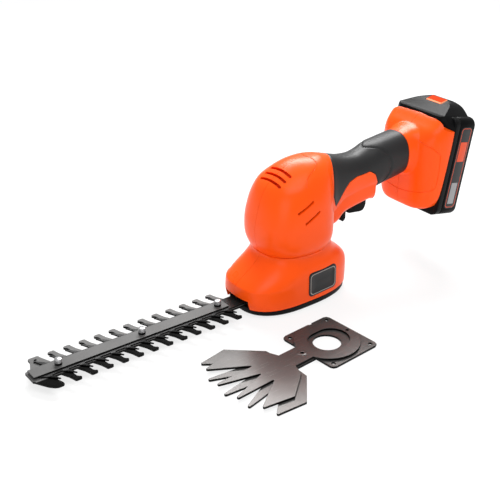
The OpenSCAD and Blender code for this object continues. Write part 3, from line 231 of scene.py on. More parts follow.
# Steps of the case: place behind the mating face and inset
COVER_STEPS = [(0.4, 1.0), (0.7, 0.4), (1.3, 0), (6.2, 0), (6.8, 0.3), (7.2, 0.8)]
COVER_HOLLOW = [(2.6, 2.2), (9, 2.2)]
TRAY_STEPS = [(7.2, 0.9), (7.6, 0.35), (8.3, 0), (26, 0), (27.6, 0.5), (28.6, 1.6), (29, 3.2)]
TRAY_HOLLOW = [(5, 2.2), (26.8, 2.2)]
CAP_SIDE = [
    (-CAP_REACH, SEAT - 12), (-CAP_REACH, SEAT + 1.6), (-9, SEAT + 3.2), (12.5, CAP_TOP - 0.6), (17, CAP_TOP),
    (22, CAP_TOP - 2), (24, CAP_TOP - 6), (24, CASE_TOP - 1), (1.4, CASE_TOP - 1), (1.4, SEAT - 12),
]
CAP_BROW = [(PACK_HALF, 37), (35.8, 40.6), (31.5, 45.6), (26, 50.4), (20, 55), (10, 58.6)]
CAP_PLAN = [(-CAP_REACH, 26), (-6, 33), (0, 37), (4, PACK_HALF), (28, PACK_HALF)]
# Layers of the side bands: rounded outlines (the second is a hole), then level, thickness and edge
PACK_BANDS = {
    "pack_band": [([(9.4, 24.2, -40.6, 39.4, 4)], 0.0, 0.3, 0.1)],
    "pack_band_line": [
        ([(10.4, 23.2, -39.6, 38.4, 3.2), (10.9, 22.7, -39.1, 37.9, 2.8)], 0.3, 0.1, 0.03),
        ([(12.2, 21.6, 6, 25, 0.6)], 0.3, 0.1, 0.03),
    ],
    "pack_band_patch": [([(12.8, 20.8, -36, -15, 0.6)], 0.3, 0.1, 0.03)],
}

# Grass-shear blades, from their drive hole
SHEAR_PLACE = Vector((-19.5, -91, 0))
SHEAR_TURN = math.radians(5)
SHEAR_T = 2.0
RIVET_X = -29.0
RIVET_R = 4
SHEAR_STEP = 16.6
SHEAR_ROOT = 46
SHEAR_BASE = [
    (-23.5, -11), (-23.5, -26.5), (-22.3, -29.3), (-19.5, -30.5), (26.5, -30.5), (29.3, -29.3), (30.5, -26.5),
    (30.5, 26.5), (29.3, 29.3), (26.5, 30.5), (12, 30.5), (12, 27.5), (8, 27.5), (8, 30.5), (-19.5, 30.5),
    (-22.3, 29.3), (-23.5, 26.5), (-23.5, 11),
]
SHEAR_RING = 28

# Studio: each lamp's place, target and size in metres, and the camera's; the floor is in millimetres
LAMPS = {
    "key": ((-0.15, -0.35, 1.1), (0.05, 0, 0.05), (0.9, 0.7)),
    "fill": ((-1.0, -0.7, 0.45), (0, 0, 0.08), (0.7, 0.7)),
    "back": ((0.51, 0.64, 0.94), (0.05, 0, 0.1), (0.9, 0.5)),
}
CAMERA_PLACE = (-0.4793, -0.6022, 0.4375)
CAMERA_TURN = math.radians(36.598)
CAMERA_DIP = math.radians(27.010)
FLOOR_HALF = 9000
FLOOR_Z = -0.05
FLOOR_GLOW = (0.76, 1.0)
FLOOR_GLOW_REACH = (0.5, 1.6)
WORLD_STRENGTH = 0.42
WHITE = (1, 1, 1, 1)


class ShearsShell(bpy.types.PropertyGroup):
    """Sizes and colours of the housing and grip."""

    orange: FloatVectorProperty(
        name="Housing colour", description="Colour of the moulded housing", default=(0.95, 0.086, 0.004),
        subtype="COLOR", size=3, min=0, max=1,
    )
    black: FloatVectorProperty(
        name="Black plastic", description="Colour of the sole, trigger and battery case",
        default=(0.0045, 0.0045, 0.0048), subtype="COLOR", size=3, min=0, max=1,
    )
    rubber: FloatVectorProperty(
        name="Grip colour", description="Colour of the soft grip", default=(0.022, 0.022, 0.0225),
        subtype="COLOR", size=3, min=0, max=1,
    )
    voxel: FloatProperty(
        name="Surface step", description="Step of the housing's blended surface", default=0.0009,
        min=0.0006, max=0.003, unit="LENGTH",
    )
    seam: FloatProperty(
        name="Seam", description="Half the gap between the two housing halves", default=0.00014,
        min=0.00005, max=0.0004, unit="LENGTH",
    )


class ShearsBlades(bpy.types.PropertyGroup):
    """Finish of the two blade sets."""

    steel: FloatVectorProperty(
        name="Blade colour", description="Colour of the ground blade plates", default=(0.085, 0.081, 0.079),
        subtype="COLOR", size=3, min=0, max=1,
    )
    edge: FloatProperty(
        name="Edge break", description="Width of the broken edge on the plates", default=0.00025,
        min=0.0001, max=0.0006, unit="LENGTH",
    )
    bolts: IntProperty(name="Bolts", description="Bolts along the hedge blade", default=3, min=1, max=3)


class ShearsStage(bpy.types.PropertyGroup):
    """Camera and light."""

    lens: FloatProperty(
        name="Lens", description="Focal length of the camera", default=69.48, min=20, max=200, unit="CAMERA",
    )
    key: FloatProperty(name="Key light", description="Power of the overhead key", default=7.0, min=0, subtype="POWER")
    fill: FloatProperty(name="Fill light", description="Power of the side fill", default=3.0, min=0, subtype="POWER")
    back: FloatProperty(
        name="Back light", description="Power of the rear soft box", default=25.0, min=0, subtype="POWER",
    )


# Mesh helpers


def new_object(name, data):
    obj = bpy.data.objects.new(name, data)
    bpy.context.scene.collection.objects.link(obj)
    return obj


def mesh_from(name, verts, faces):
    """An object from points in millimetres."""
    mesh = bpy.data.meshes.new(name)
    mesh.from_pydata([tuple(c * MM for c in v) for v in verts], [], faces)
    mesh.validate()
    mesh.update()
    return new_object(name, mesh)


def tidy_normals(obj):
    bm = bmesh.new()
    bm.from_mesh(obj.data)
    bmesh.ops.remove_doubles(bm, verts=bm.verts, dist=1e-6)
    bmesh.ops.recalc_face_normals(bm, faces=bm.faces)
    bm.to_mesh(obj.data)
    bm.free()
    return obj


def bake_modifiers(obj):
    """The object's evaluated shape becomes its mesh."""
    graph = bpy.context.evaluated_depsgraph_get()
    mesh = bpy.data.meshes.new_from_object(obj.evaluated_get(graph))
    obj.modifiers.clear()
    old = obj.data
    obj.data = mesh
    bpy.data.meshes.remove(old)
    return obj


def modified(obj, kind, **settings):
    """The object's mesh becomes what one modifier makes of it."""
    mod = obj.modifiers.new(kind, kind)
    for key, value in settings.items():
        setattr(mod, key, value)
    return bake_modifiers(obj)


def drop(*objects):
    for obj in objects:
        mesh = obj.data
        bpy.data.objects.remove(obj)
        if mesh.users == 0:
            bpy.data.meshes.remove(mesh)


def boolean(obj, tool, operation="DIFFERENCE"):
    modified(obj, "BOOLEAN", operation=operation, object=tool, solver="MANIFOLD")
    if not len(obj.data.polygons):
        raise RuntimeError(obj.name + ": nothing left after " + operation)
    drop(tool)
    return obj


def join(name, objects):
    bm = bmesh.new()
    for obj in objects:
        bm.from_mesh(obj.data)
    mesh = bpy.data.meshes.new(name)
    bm.to_mesh(mesh)
    bm.free()
    drop(*objects)
    return new_object(name, mesh)


def bevel(obj, width, segments, angle=30):
    return modified(
        obj, "BEVEL", width=width * MM, segments=segments, limit_method="ANGLE", angle_limit=math.radians(angle),
    )


def loft(name, rings, ringed=False):
    """A closed skin through rings of equal count: flat at both ends, or joined end to start."""
    count, rows = len(rings[0]), len(rings)
    faces = [] if ringed else [tuple(range(count))[::-1], tuple(range((rows - 1) * count, rows * count))]
    for j in range(rows if ringed else rows - 1):
        low, high = j * count, (j + 1) % rows * count
        for i in range(count):
            k = (i + 1) % count
            faces.append((low + i, low + k, high + k, high + i))
    return tidy_normals(mesh_from(name, [p for ring in rings for p in ring], faces))


def smooth_rows(rows, per=6):
    """More rows between the given ones, on a smooth curve through them."""
    data = np.array(rows, float)
    out = []
    for j in range(len(data) - 1):
        p0, p1 = data[max(j - 1, 0)], data[j]
        p2, p3 = data[j + 1], data[min(j + 2, len(data) - 1)]
        for t in (k / per for k in range(per)):
            bend = (2 * p0 - 5 * p1 + 4 * p2 - p3) * t ** 2
            out.append(0.5 * (2 * p1 + (p2 - p0) * t + bend + (3 * p1 - p0 - 3 * p2 + p3) * t ** 3))
    out.append(data[-1])
    return np.array(out)


def row_at(table, place):
    """The values of a table at a place between its rows, without the place itself."""
    return [float(np.interp(place, table[:, 0], column)) for column in table.T[1:]]


def spow(v, p):
    return math.copysign(abs(v) ** p, v)


def turns(count):
    """Cosine and sine at even steps round a circle."""
    return [(math.cos(2 * math.pi * i / count), math.sin(2 * math.pi * i / count)) for i in range(count)]


def plan_ring(z, front, middle, rear, half, front_round, rear_round):
    """A level ring with its own roundness at the front and the rear."""
    ring = []
    for c, s in turns(RING_POINTS):
        n, reach = (front_round, middle - front) if c < 0 else (rear_round, rear - middle)
        ring.append((middle + reach * spow(c, 2 / n), half * spow(s, 2 / n), z))
    return ring


def cross_ring(x, top, bottom, half, n):
    """An upright ring across the handle or the block."""
    middle, reach = (top + bottom) / 2, (top - bottom) / 2
    return [(x, half * spow(c, 2 / n), middle + reach * spow(s, 2 / n)) for c, s in turns(RING_POINTS)]


def box_mesh(name, lo, hi):
    verts = [(x, y, z) for x in (lo[0], hi[0]) for y in (lo[1], hi[1]) for z in (lo[2], hi[2])]
    faces = [(0, 1, 3, 2), (4, 6, 7, 5), (0, 4, 5, 1), (2, 3, 7, 6), (0, 2, 6, 4), (1, 5, 7, 3)]
    return tidy_normals(mesh_from(name, verts, faces))


def rod(name, start, end, radius, sides=32):
    """A round bar between two points."""
    a, b = Vector(start), Vector(end)
    way = (b - a).normalized()
    side = way.orthogonal().normalized()
    other = way.cross(side)
    return loft(name, [[tuple(p + radius * (c * side + s * other)) for c, s in turns(sides)] for p in (a, b)])


def lathe(name, steps, sides=40):
    """A turned piece about Z: steps are (radius, height) from the bottom to the top."""
    return loft(name, [[(r * c, r * s, z) for c, s in turns(sides)] for r, z in steps])


def screw_hole(x, z, head):
    """A stepped round cutter across the part, for a screw and its sunk head."""
    seat = head - HEAD_DEPTH
    steps = [(SCREW_HOLE, -12), (SCREW_HOLE, seat), (HEAD_HOLE, seat), (HEAD_HOLE, 60)]
    return loft("hole", [[(x + r * c, y, z + r * s) for c, s in turns(28)] for r, y in steps])


def capsule(name, points, radius, along, depth):
    """A rounded slot cutter along a run of points, standing along a direction."""
    points, along = [Vector(p) for p in points], Vector(along).normalized()
    runs = [(b - a).normalized() for a, b in zip(points, points[1:])]
    runs = [runs[0]] + [(a + b).normalized() for a, b in zip(runs, runs[1:])] + [runs[-1]]
    sides = [along.cross(r).normalized() for r in runs]

    def round_end(k, first):
        angles = [math.radians(first + 15 * step) for step in range(1, 12)]
        return [points[k] + radius * (math.cos(t) * runs[k] + math.sin(t) * sides[k]) for t in angles]

    outline = [p - radius * q for p, q in zip(points, sides)] + round_end(-1, -90)
    outline += [p + radius * q for p, q in zip(reversed(points), reversed(sides))] + round_end(0, 90)
    return loft(name, [[tuple(p + along * d) for p in outline] for d in (-depth / 2, depth / 2)])


def plate(name, outlines, z0, thick, edge, turn=None):
    """A flat plate with broken edges: the first outline is its rim and the others are holes, in millimetres."""
    curve = bpy.data.curves.new(name, "CURVE")
    curve.dimensions = "2D"
    curve.fill_mode = "BOTH"
    for points in outlines:
        spline = curve.splines.new("POLY")
        spline.points.add(len(points) - 1)
        for k, p in enumerate(points):
            spline.points[k].co = (p[0] * MM, p[1] * MM, 0, 1)
        spline.use_cyclic_u = True
    curve.extrude = (thick / 2 - edge) * MM
    curve.bevel_depth = edge * MM
    curve.bevel_resolution = 1
    curve.offset = -edge * MM
    holder = new_object(name + "_line", curve)
    graph = bpy.context.evaluated_depsgraph_get()
    mesh = bpy.data.meshes.new_from_object(holder.evaluated_get(graph))
    bpy.data.objects.remove(holder)
    bpy.data.curves.remove(curve)
    mesh.name = name
    mesh.transform(Matrix.Translation((0, 0, (z0 + thick / 2) * MM)))
    if turn is not None:
        mesh.transform(turn)
    return tidy_normals(new_object(name, mesh))


def circle(x, y, r, count=40):
    return [(x + r * c, y + r * s) for c, s in turns(count)]


def slot_line(x, length, width, count=12):
    """A slot with round ends along the middle."""
    half, r = (length - width) / 2, width / 2
    points = []
    for middle, first in ((x + half, -math.pi / 2), (x - half, math.pi / 2)):
        points += [(middle + r * math.cos(t), r * math.sin(t)) for t in np.linspace(first, first + math.pi, count)]
    return points


def round_rect(x0, x1, y0, y1, r, count=8):
    points = []
    for x, y, first in ((x1 - r, y1 - r, 0), (x0 + r, y1 - r, 90), (x0 + r, y0 + r, 180), (x1 - r, y0 + r, 270)):
        angles = [math.radians(first + 90 * k / count) for k in range(count + 1)]
        points += [(x + r * math.cos(t), y + r * math.sin(t)) for t in angles]
    return points


def soften(points, radius, keep=(), steps=3):
    """The outline with its corners rounded, but for those in keep."""
    out = []
    for k, p in enumerate(map(Vector, points)):
        if k in keep:
            out.append(tuple(p))
            continue
        a, b = (Vector(q) - p for q in (points[k - 1], points[(k + 1) % len(points)]))
        s, e = (p + way.normalized() * min(radius, 0.45 * way.length) for way in (a, b))
        for t in (i / steps for i in range(steps + 1)):
            out.append(tuple(s * (1 - t) ** 2 + p * 2 * t * (1 - t) + e * t ** 2))
    return out


def flipped(half):
    """The other half of an outline, mirrored across the middle."""
    return [(x, -y) for x, y in reversed(half)]


def mirrored(line):
    return [(x, -y, z) for x, y, z in line]


def on_pack(obj):
    """Moves a shape drawn in the pack's leaning frame into place."""
    obj.data.transform(Matrix.Translation(PACK_PLACE * MM) @ Matrix.Rotation(PACK_TILT, 4, "Y"))
    obj.data.update()
    return obj


def prism(name, outline, axis, lo, hi):
    """A flat outline drawn in the other two axes, run along one axis."""
    at = "xyz".index(axis)
    return loft(name, [[(*p[:at], d, *p[at:]) for p in outline] for d in (lo, hi)])


def paint_where(obj, material, test):
    """A second material on the faces that pass a test of centre and normal; here it carries painted shade, painted
    shadow and a painted highlight.
    """
    obj.data.materials.append(material)
    for face in obj.data.polygons:
        if test(face.center, face.normal):
            face.material_index = len(obj.data.materials) - 1


def shade_plate_edges(*plates):
    """Painted shade: nearly black steel on the upright edge faces round each plate."""
    for obj in plates:
        paint_where(obj, painted_shade_steel(), lambda centre, normal: abs(normal.z) < 0.5)


def settle(obj, body, material, nodes=(), angle=30):
    """Gives a finished piece its finish, its body and the solids that it stands for."""
    obj.data.materials.clear()
    obj.data.materials.append(material)
    obj.data.polygons.foreach_set("use_smooth", [True] * len(obj.data.polygons))
    obj.data.set_sharp_from_angle(angle=math.radians(angle))
    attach(obj, body)
    if nodes:
        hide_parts(*nodes)
    return obj


# Node helpers


def node(tree, kind, wires=(), **settings):
    """A new node: wires gives each input a value or another node's output."""
    made = tree.nodes.new(kind)
    for key, value in settings.items():
        setattr(made, key, value)
    for key, value in dict(wires).items():
        if isinstance(value, bpy.types.NodeSocket):
            tree.links.new(value, made.inputs[key])
        else:
            made.inputs[key].default_value = value
    return made


def copies_tree():
    """One unit at each of a mesh's points, as plain mesh."""
    tree = bpy.data.node_groups.get("copies_at_places")
    if tree is None:
        tree = bpy.data.node_groups.new("copies_at_places", "GeometryNodeTree")
        sockets = (("Places", "INPUT", "Geometry"), ("Unit", "INPUT", "Object"), ("Copies", "OUTPUT", "Geometry"))
        for name, way, kind in sockets:
            tree.interface.new_socket(name=name, in_out=way, socket_type="NodeSocket" + kind)
        given = node(tree, "NodeGroupInput").outputs
        points = node(tree, "GeometryNodeMeshToPoints", {"Mesh": given["Places"]}).outputs["Points"]
        unit = node(tree, "GeometryNodeObjectInfo", {"Object": given["Unit"]}).outputs["Geometry"]
        copies = node(tree, "GeometryNodeInstanceOnPoints", {"Points": points, "Instance": unit})
        plain = node(tree, "GeometryNodeRealizeInstances", {"Geometry": copies.outputs["Instances"]})
        node(tree, "NodeGroupOutput", {"Copies": plain.outputs["Geometry"]})
    return tree


def repeat(name, places, unit):
    """Copies of one shape at several places."""
    tree = copies_tree()
    obj = mesh_from(name, places, [])
    mod = obj.modifiers.new("copies", "NODES")
    mod.node_group = tree
    mod[tree.interface.items_tree["Unit"].identifier] = unit
    bake_modifiers(obj)
    drop(unit)
    return obj


# Finishes


def effect_tree(name, inputs):
    """A shared effect that gives a height and a mask, with its inputs and the object's coordinates."""
    tree = bpy.data.node_groups.new(name, "ShaderNodeTree")
    for label, value in inputs.items():
        kind = "NodeSocketVector" if isinstance(value, tuple) else "NodeSocketFloat"
        tree.interface.new_socket(name=label, in_out="INPUT", socket_type=kind).default_value = value
    for label in ("Height", "Mask"):
        tree.interface.new_socket(name=label, in_out="OUTPUT", socket_type="NodeSocketFloat")
    return tree, node(tree, "NodeGroupInput").outputs, node(tree, "ShaderNodeTexCoord").outputs["Object"]


def noise(tree, place, scale, detail):
    return node(tree, "ShaderNodeTexNoise", {"Vector": place, "Scale": scale, "Detail": detail}).outputs["Fac"]


def grain_tree():
    """Fine spark-eroded mould grain: a height, and a mask of slow drift."""
    tree = bpy.data.node_groups.get("mould_grain")
    if tree is None:
        tree, given, place = effect_tree("mould_grain", {"Scale": 1400.0, "Drift": 14.0})
        fine, slow = noise(tree, place, given["Scale"], 3), noise(tree, place, given["Drift"], 4)
        node(tree, "NodeGroupOutput", {"Height": fine, "Mask": slow})
    return tree


def grinding_tree():
    """Grinding lines that run one way: a height and a mask."""
    tree = bpy.data.node_groups.get("grinding_lines")
    if tree is None:
        tree, given, place = effect_tree("grinding_lines", {"Stretch": (60.0, 2600.0, 2600.0), "Drift": 25.0})
        along = node(tree, "ShaderNodeVectorMath", {0: place, 1: given["Stretch"]}, operation="MULTIPLY")
        lines, slow = noise(tree, along.outputs["Vector"], 1, 4), noise(tree, place, given["Drift"], 5)
        node(tree, "NodeGroupOutput", {"Height": lines, "Mask": slow})
    return tree


def start_nodes(data):
    data.use_nodes = True
    data.node_tree.nodes.clear()
    return data.node_tree


def spread(tree, source, low, high, first=0.3, last=0.7):
    """A value between low and high that follows a source between first and last."""
    wires = {"Value": source, "From Min": first, "From Max": last, "To Min": low, "To Max": high}
    return node(tree, "ShaderNodeMapRange", wires).outputs["Result"]


def two_tone(tree, mask, colour, change):
    """A colour that drifts a little darker and lighter with a mask."""
    dark, light = (tuple(min(1.0, c * gain) for c in colour) + (1.0,) for gain in (1 - change, 1 + change))
    amount = spread(tree, mask, 0.0, 1.0)
    return node(tree, "ShaderNodeMix", {0: amount, 6: dark, 7: light}, data_type="RGBA").outputs[2]


def bumped(tree, height, strength, distance):
    wires = {"Strength": strength, "Distance": distance, "Height": height}
    return node(tree, "ShaderNodeBump", wires).outputs["Normal"]


def finished(tree, wires):
    shader = node(tree, "ShaderNodeBsdfPrincipled", wires)
    node(tree, "ShaderNodeOutputMaterial", {"Surface": shader.outputs["BSDF"]})


def plastic(name, colour, rough=(0.32, 0.42), grain=1400.0, strength=0.08, drift=14.0, change=0.06, gloss=0.3):
    """Moulded plastic or rubber with a fine grain."""
    mat = bpy.data.materials.get(name)
    if mat is None:
        mat = bpy.data.materials.new(name)
        tree = start_nodes(mat)
        effect = node(tree, "ShaderNodeGroup", {"Scale": grain, "Drift": drift}, node_tree=grain_tree()).outputs
        finished(tree, {
            "Base Color": two_tone(tree, effect["Mask"], colour, change),
            "Roughness": spread(tree, effect["Mask"], *rough),
            "Normal": bumped(tree, effect["Height"], strength, 0.0002),
            "Specular IOR Level": gloss,
        })
    return mat


def metal(
    name, colour, rough=(0.24, 0.36), stretch=(60.0, 2600.0, 2600.0), strength=0.06, change=0.12, painted_shade_y=None,
    sheen=1.0, gloss=0.5,
):
    """Ground or plated metal with fine lines, darkened into painted shade below a given Y when one is given."""
    mat = bpy.data.materials.get(name)
    if mat is None:
        mat = bpy.data.materials.new(name)
        tree = start_nodes(mat)
        effect = node(tree, "ShaderNodeGroup", {"Stretch": stretch}, node_tree=grinding_tree()).outputs
        tint = two_tone(tree, effect["Mask"], colour, change)
        # Painted shade: below the given Y, on the near side, the colour is darkened almost to black.
        if painted_shade_y is not None:
            place = node(tree, "ShaderNodeTexCoord").outputs["Object"]
            across = node(tree, "ShaderNodeSeparateXYZ", {"Vector": place}).outputs["Y"]
            side = spread(tree, across, 0.02, 1.0, painted_shade_y - 0.0006, painted_shade_y + 0.0006)
            wires = {0: 1.0, 6: tint, 7: side}
            tint = node(tree, "ShaderNodeMix", wires, data_type="RGBA", blend_type="MULTIPLY").outputs[2]
        finished(tree, {
            "Base Color": tint,
            "Roughness": spread(tree, effect["Height"], *rough),
            "Normal": bumped(tree, effect["Height"], strength, 0.0001),
            "Metallic": sheen,
            "Specular IOR Level": gloss,
        })
    return mat


def housing_orange():
    return plastic("housing_orange", bpy.context.scene.shears_shell.orange, (0.26, 0.34), 1500, 0.05, 9, 0.04, 0.16)


def case_black():
    return plastic("case_black", bpy.context.scene.shears_shell.black, (0.36, 0.46), 1100, 0.12, 16, 0.12, 0.06)


def grip_black():
    return plastic("grip_soft_black", bpy.context.scene.shears_shell.rubber, (0.36, 0.46), 1300, 0.14, 18, 0.12, 0.17)


def plate_satin():
    return plastic("plate_satin", (0.011, 0.011, 0.0115))


def blade_grey():
    return metal("blade_ground", bpy.context.scene.shears_blades.steel, (0.2, 0.28), sheen=0.4, gloss=0.03)


def tooth_steel(name, colour, rough, sheen):
    """Plate steel whose near-side teeth are darkened as painted shade."""
    return metal(name, colour, rough, sheen=sheen, gloss=0.0, painted_shade_y=-(SPINE_HALF + 0.2) * MM)


# Nearly black steel, used as painted shade on upright plate edges and as painted shadow low on the bolts.
def painted_shade_steel():
    return metal("painted_shade_steel", (0.012, 0.012, 0.012), (0.4, 0.55), (900, 900, 900), 0.08)


def bolt_bright():
    return metal("bolt_plated", (0.42, 0.42, 0.425), (0.24, 0.34), (900, 900, 900), 0.04, 0.08, sheen=0.7)


# Housing

BASE_TABLE = smooth_rows(BASE_LEVELS)
DOME_TABLE = smooth_rows(DOME_LEVELS)
HANDLE_TABLE = smooth_rows(HANDLE, 4)


def base_rows(inset):
    return [
        plan_ring(z - (inset * 0.5 if z > SHOULDER else 0), f + inset, WIDEST_X, r - inset, w - inset, n, BASE_TAIL)
        for z, f, r, w, n in BASE_TABLE
    ]


def dome_rows(inset):
    low, high = DOME_LEVELS[0][0], DOME_LEVELS[-1][0]
    rows = []
    for z, f, r, w, n in DOME_TABLE:
        level = z - inset * (z - low) / (high - low)
        rows.append(plan_ring(level, f + inset, max(DOME_X, (f + r) / 2), r - inset, max(w - inset, 2), n, n))
    return rows


def bar_rows(stations, n, inset):
    return [cross_ring(x, t - inset, b + inset, w - inset, n) for x, t, b, w in smooth_rows(stations)]


def shortened(stations, start, end):
    """Stations with the first and the last one moved along."""
    (first, *rest), (last, *others) = stations[0], stations[-1]
    return [(first + start, *rest), *stations[1:-1], (last + end, *others)]


def blended(name, forms, voxel, rounds):
    """One surface round several overlapping forms, with the inner corners eased."""
    obj = join(name, [loft("form", rows) for rows in forms])
    modified(obj, "REMESH", mode="VOXEL", voxel_size=voxel)
    return modified(obj, "SMOOTH", factor=0.5, iterations=rounds)


def eased_crown(obj, lo, hi, rounds):
    """Extra easing inside a box, where several forms meet on the dome's top."""
    group = obj.vertex_groups.new(name="crown")
    inside = [v.index for v in obj.data.vertices if all(a * MM < c < b * MM for a, c, b in zip(lo, v.co, hi))]
    group.add(inside, 1.0, "REPLACE")
    return modified(obj, "SMOOTH", vertex_group="crown", factor=0.5, iterations=rounds)


def pack_box(name, lo, hi):
    return on_pack(box_mesh(name, lo, hi))


def seat_line(half, count, gap=0.0):
    """The arch of the seat under the pack's cap, across the pack."""
    return [(y, SEAT - gap - SEAT_ARCH * (y / PACK_HALF) ** 2) for y in np.linspace(-half, half, count)]


def seat_cut(name, start, gap):
    """The arched space over the rear block, where the pack's cap sits."""
    return on_pack(prism(name, seat_line(42, 43, gap) + [(42, 95), (-42, 95)], "x", start, 60))


def housing_outer(voxel):
    bars = ((HANDLE, HANDLE_ROUND), (TRIGGER_BOX, TRIGGER_ROUND), (FLARE, FLARE_ROUND), (BLOCK, BLOCK_ROUND))
    obj = blended("housing", [base_rows(0), dome_rows(0)] + [bar_rows(rows, n, 0) for rows, n in bars], voxel, 6)
    eased_crown(obj, *CROWN, 60)
    boolean(obj, box_mesh("cut_floor", (-90, -90, -20), (120, 90, SOLE_H)))
    boolean(obj, pack_box("cut_pack", (0, -60, -90), (60, 60, 90)))
    return boolean(obj, seat_cut("cut_cap", -CAP_REACH - 0.4, 0.4))


def housing_hollow():
    forms = [
        base_rows(WALL), dome_rows(WALL), bar_rows(HANDLE, HANDLE_ROUND, GRIP_T + WALL),
        bar_rows(shortened(TRIGGER_BOX, 0, -WALL), TRIGGER_ROUND, WALL),
        bar_rows(shortened(BLOCK, WALL, 0), BLOCK_ROUND, WALL),
    ]
    obj = blended("void", forms, 0.0015, 2)
    boolean(obj, pack_box("void_pack", (-WALL, -60, -90), (60, 60, 90)))
    boolean(obj, seat_cut("void_cap", -CAP_REACH - 3, 3))
    boolean(obj, join("bosses", [rod("boss", (x, -60, z), (x, 60, z), BOSS_RADIUS) for x, z, _ in SCREWS]))
    return boolean(obj, box_mesh("louvre_wall", *LOUVRE_WALL))


def handle_point(x, t, inset, side):
    """A point on the handle's form at a place and an angle round it."""
    top, bottom, half = row_at(HANDLE_TABLE, x)
    top, bottom, half = top - inset, bottom + inset, half - inset
    across, up = spow(max(math.cos(t), 0.0), 2 / HANDLE_ROUND), spow(math.sin(t), 2 / HANDLE_ROUND)
    return x, side * half * across, (top + bottom) / 2 + (top - bottom) / 2 * up


def grip_skin(name, side, lift, depth, grow, rows=96, cols=44):
    """The grip's closed patch: lift raises its face, depth is how far its back lies under the handle's form."""
    front_face, back_face = [], []
    clear = 0.0 if grow else GRIP_SEAM
    for s in (j / rows for j in range(rows + 1)):
        nominal = GRIP_FRONT_SIDE + (GRIP_REAR - GRIP_FRONT_SIDE) * s
        low = max(row_at(GRIP_EDGE, nominal)[0] - grow * 3, -90)
        for q in (i / cols for i in range(cols + 1)):
            t = math.radians(low + (90 - low) * q)
            front = GRIP_FRONT_TOP + (GRIP_FRONT_SIDE - GRIP_FRONT_TOP) * math.cos(t) - grow
            x = front + (GRIP_REAR + grow - front) * s
            for face, inset in ((front_face, -lift(s, q, x, t)), (back_face, depth)):
                p = handle_point(x, t, inset, side)
                face.append((p[0], side * max(side * p[1], clear), p[2]))
    size, step = len(front_face), cols + 1
    polys = []
    for j in range(rows):
        for i in range(cols):
            a = j * step + i
            polys.append((a, a + 1, a + 1 + step, a + step))
            polys.append((a + size, a + step + size, a + 1 + step + size, a + 1 + size))
    edge = list(range(cols)) + [j * step + cols for j in range(rows)]
    edge += [rows * step + i for i in range(cols, 0, -1)] + [j * step for j in range(rows, 0, -1)]
    polys += [(a, b, b + size, a + size) for a, b in zip(edge, edge[1:] + edge[:1])]
    return tidy_normals(mesh_from(name, front_face + back_face, polys))


def grip_lift(s, q, x, t):
    """Rounded edges, and the moulded step that crosses the grip."""
    near = min(s * GRIP_LENGTH, (1 - s) * GRIP_LENGTH, q * GRIP_GIRTH if q < 0.5 else math.inf)
    edge = -RIM_DROP * (1 - min(near / RIM_WIDTH, 1.0)) ** 2
    line = STEP_X + STEP_SWEEP * max(math.cos(t), 0.0) ** STEP_CURVE
    groove = -GROOVE_DEPTH * math.exp(-((x - line) / GROOVE_WIDTH) ** 2)
    raised = STEP_RISE * min(max((x - line) / STEP_WIDTH, 0.0), 1.0)
    return GRIP_RISE + edge + groove + raised


def cut_housing(shell):
    """Vents, blade slot, control slot, catch window, receiver window and screw holes."""
    cuts = []
    bow = [(y, 1.0 - FRONT_VENT_BOW * y * y) for y in np.linspace(-FRONT_VENT_HALF, FRONT_VENT_HALF, 9)]
    (x, z), (ahead, down) = FRONT_VENT_PLACE, FRONT_VENT_STEP
    for k in range(FRONT_VENTS):
        row = [(x - ahead * k + rise, y, z - down * k + rise) for y, rise in bow]
        cuts.append(capsule("vent", row, FRONT_VENT_RADIUS, (-0.7, 0, 0.7), 10))
    (x, y, z), (back, down) = SIDE_VENT_PLACE, SIDE_VENT_STEP
    for side, _ in HANDS:
        for k in range(SIDE_VENTS):
            p = Vector((x + back * k, side * y, z - down * k))
            cuts.append(capsule("vent", [p, p + SIDE_VENT_RUN], SIDE_VENT_RADIUS, (0, 1, 0), 22))
    cuts.append(box_mesh("blade_slot", *BLADE_SLOT))
    cuts.append(prism("control_slot", round_rect(*CONTROL_SLOT), "z", 40, 78))
    cuts.append(box_mesh("catch_window", *CATCH_WINDOW))
    boolean(shell, join("cuts", cuts))
    boolean(shell, pack_box("receiver_window", *RECEIVER_WINDOW))
    boolean(shell, pack_box("tongue_window", *TONGUE_WINDOW))
    return boolean(shell, join("holes", [screw_hole(*screw) for screw in SCREWS]))


def waist_groove():
    """A thin ring that cuts the parting line where the dome meets the base."""
    (low, high), (deep, out) = WAIST_Z, WAIST_INSET
    rings = []
    for z, inset in ((low, deep), (low, out), (high, out), (high, deep)):
        f, r, w, n = row_at(DOME_TABLE, z)
        rings.append(plan_ring(z, f + inset, DOME_X, r - inset, w - inset, n, n))
    return loft("waist", rings, ringed=True)


def line_groove(shell, line):
    """A thin round cutter that follows a line laid on the housing's surface."""
    bpy.context.view_layer.update()
    spots, ways = [], []
    for point in smooth_rows(line, 5):
        found, spot, way, _ = shell.closest_point_on_mesh(Vector(point) * MM)
        if not found:
            raise RuntimeError("no surface under a moulded line")
        spots.append(spot / MM)
        ways.append(way)
    rings = []
    for k, (spot, way) in enumerate(zip(spots, ways)):
        run = (spots[min(k + 1, len(spots) - 1)] - spots[max(k - 1, 0)]).normalized()
        side = run.cross(way).normalized()
        up = side.cross(run)
        rings.append([tuple(spot + LINE_RADIUS * (c * side + s * up)) for c, s in turns(8)])
    return loft("line", rings)


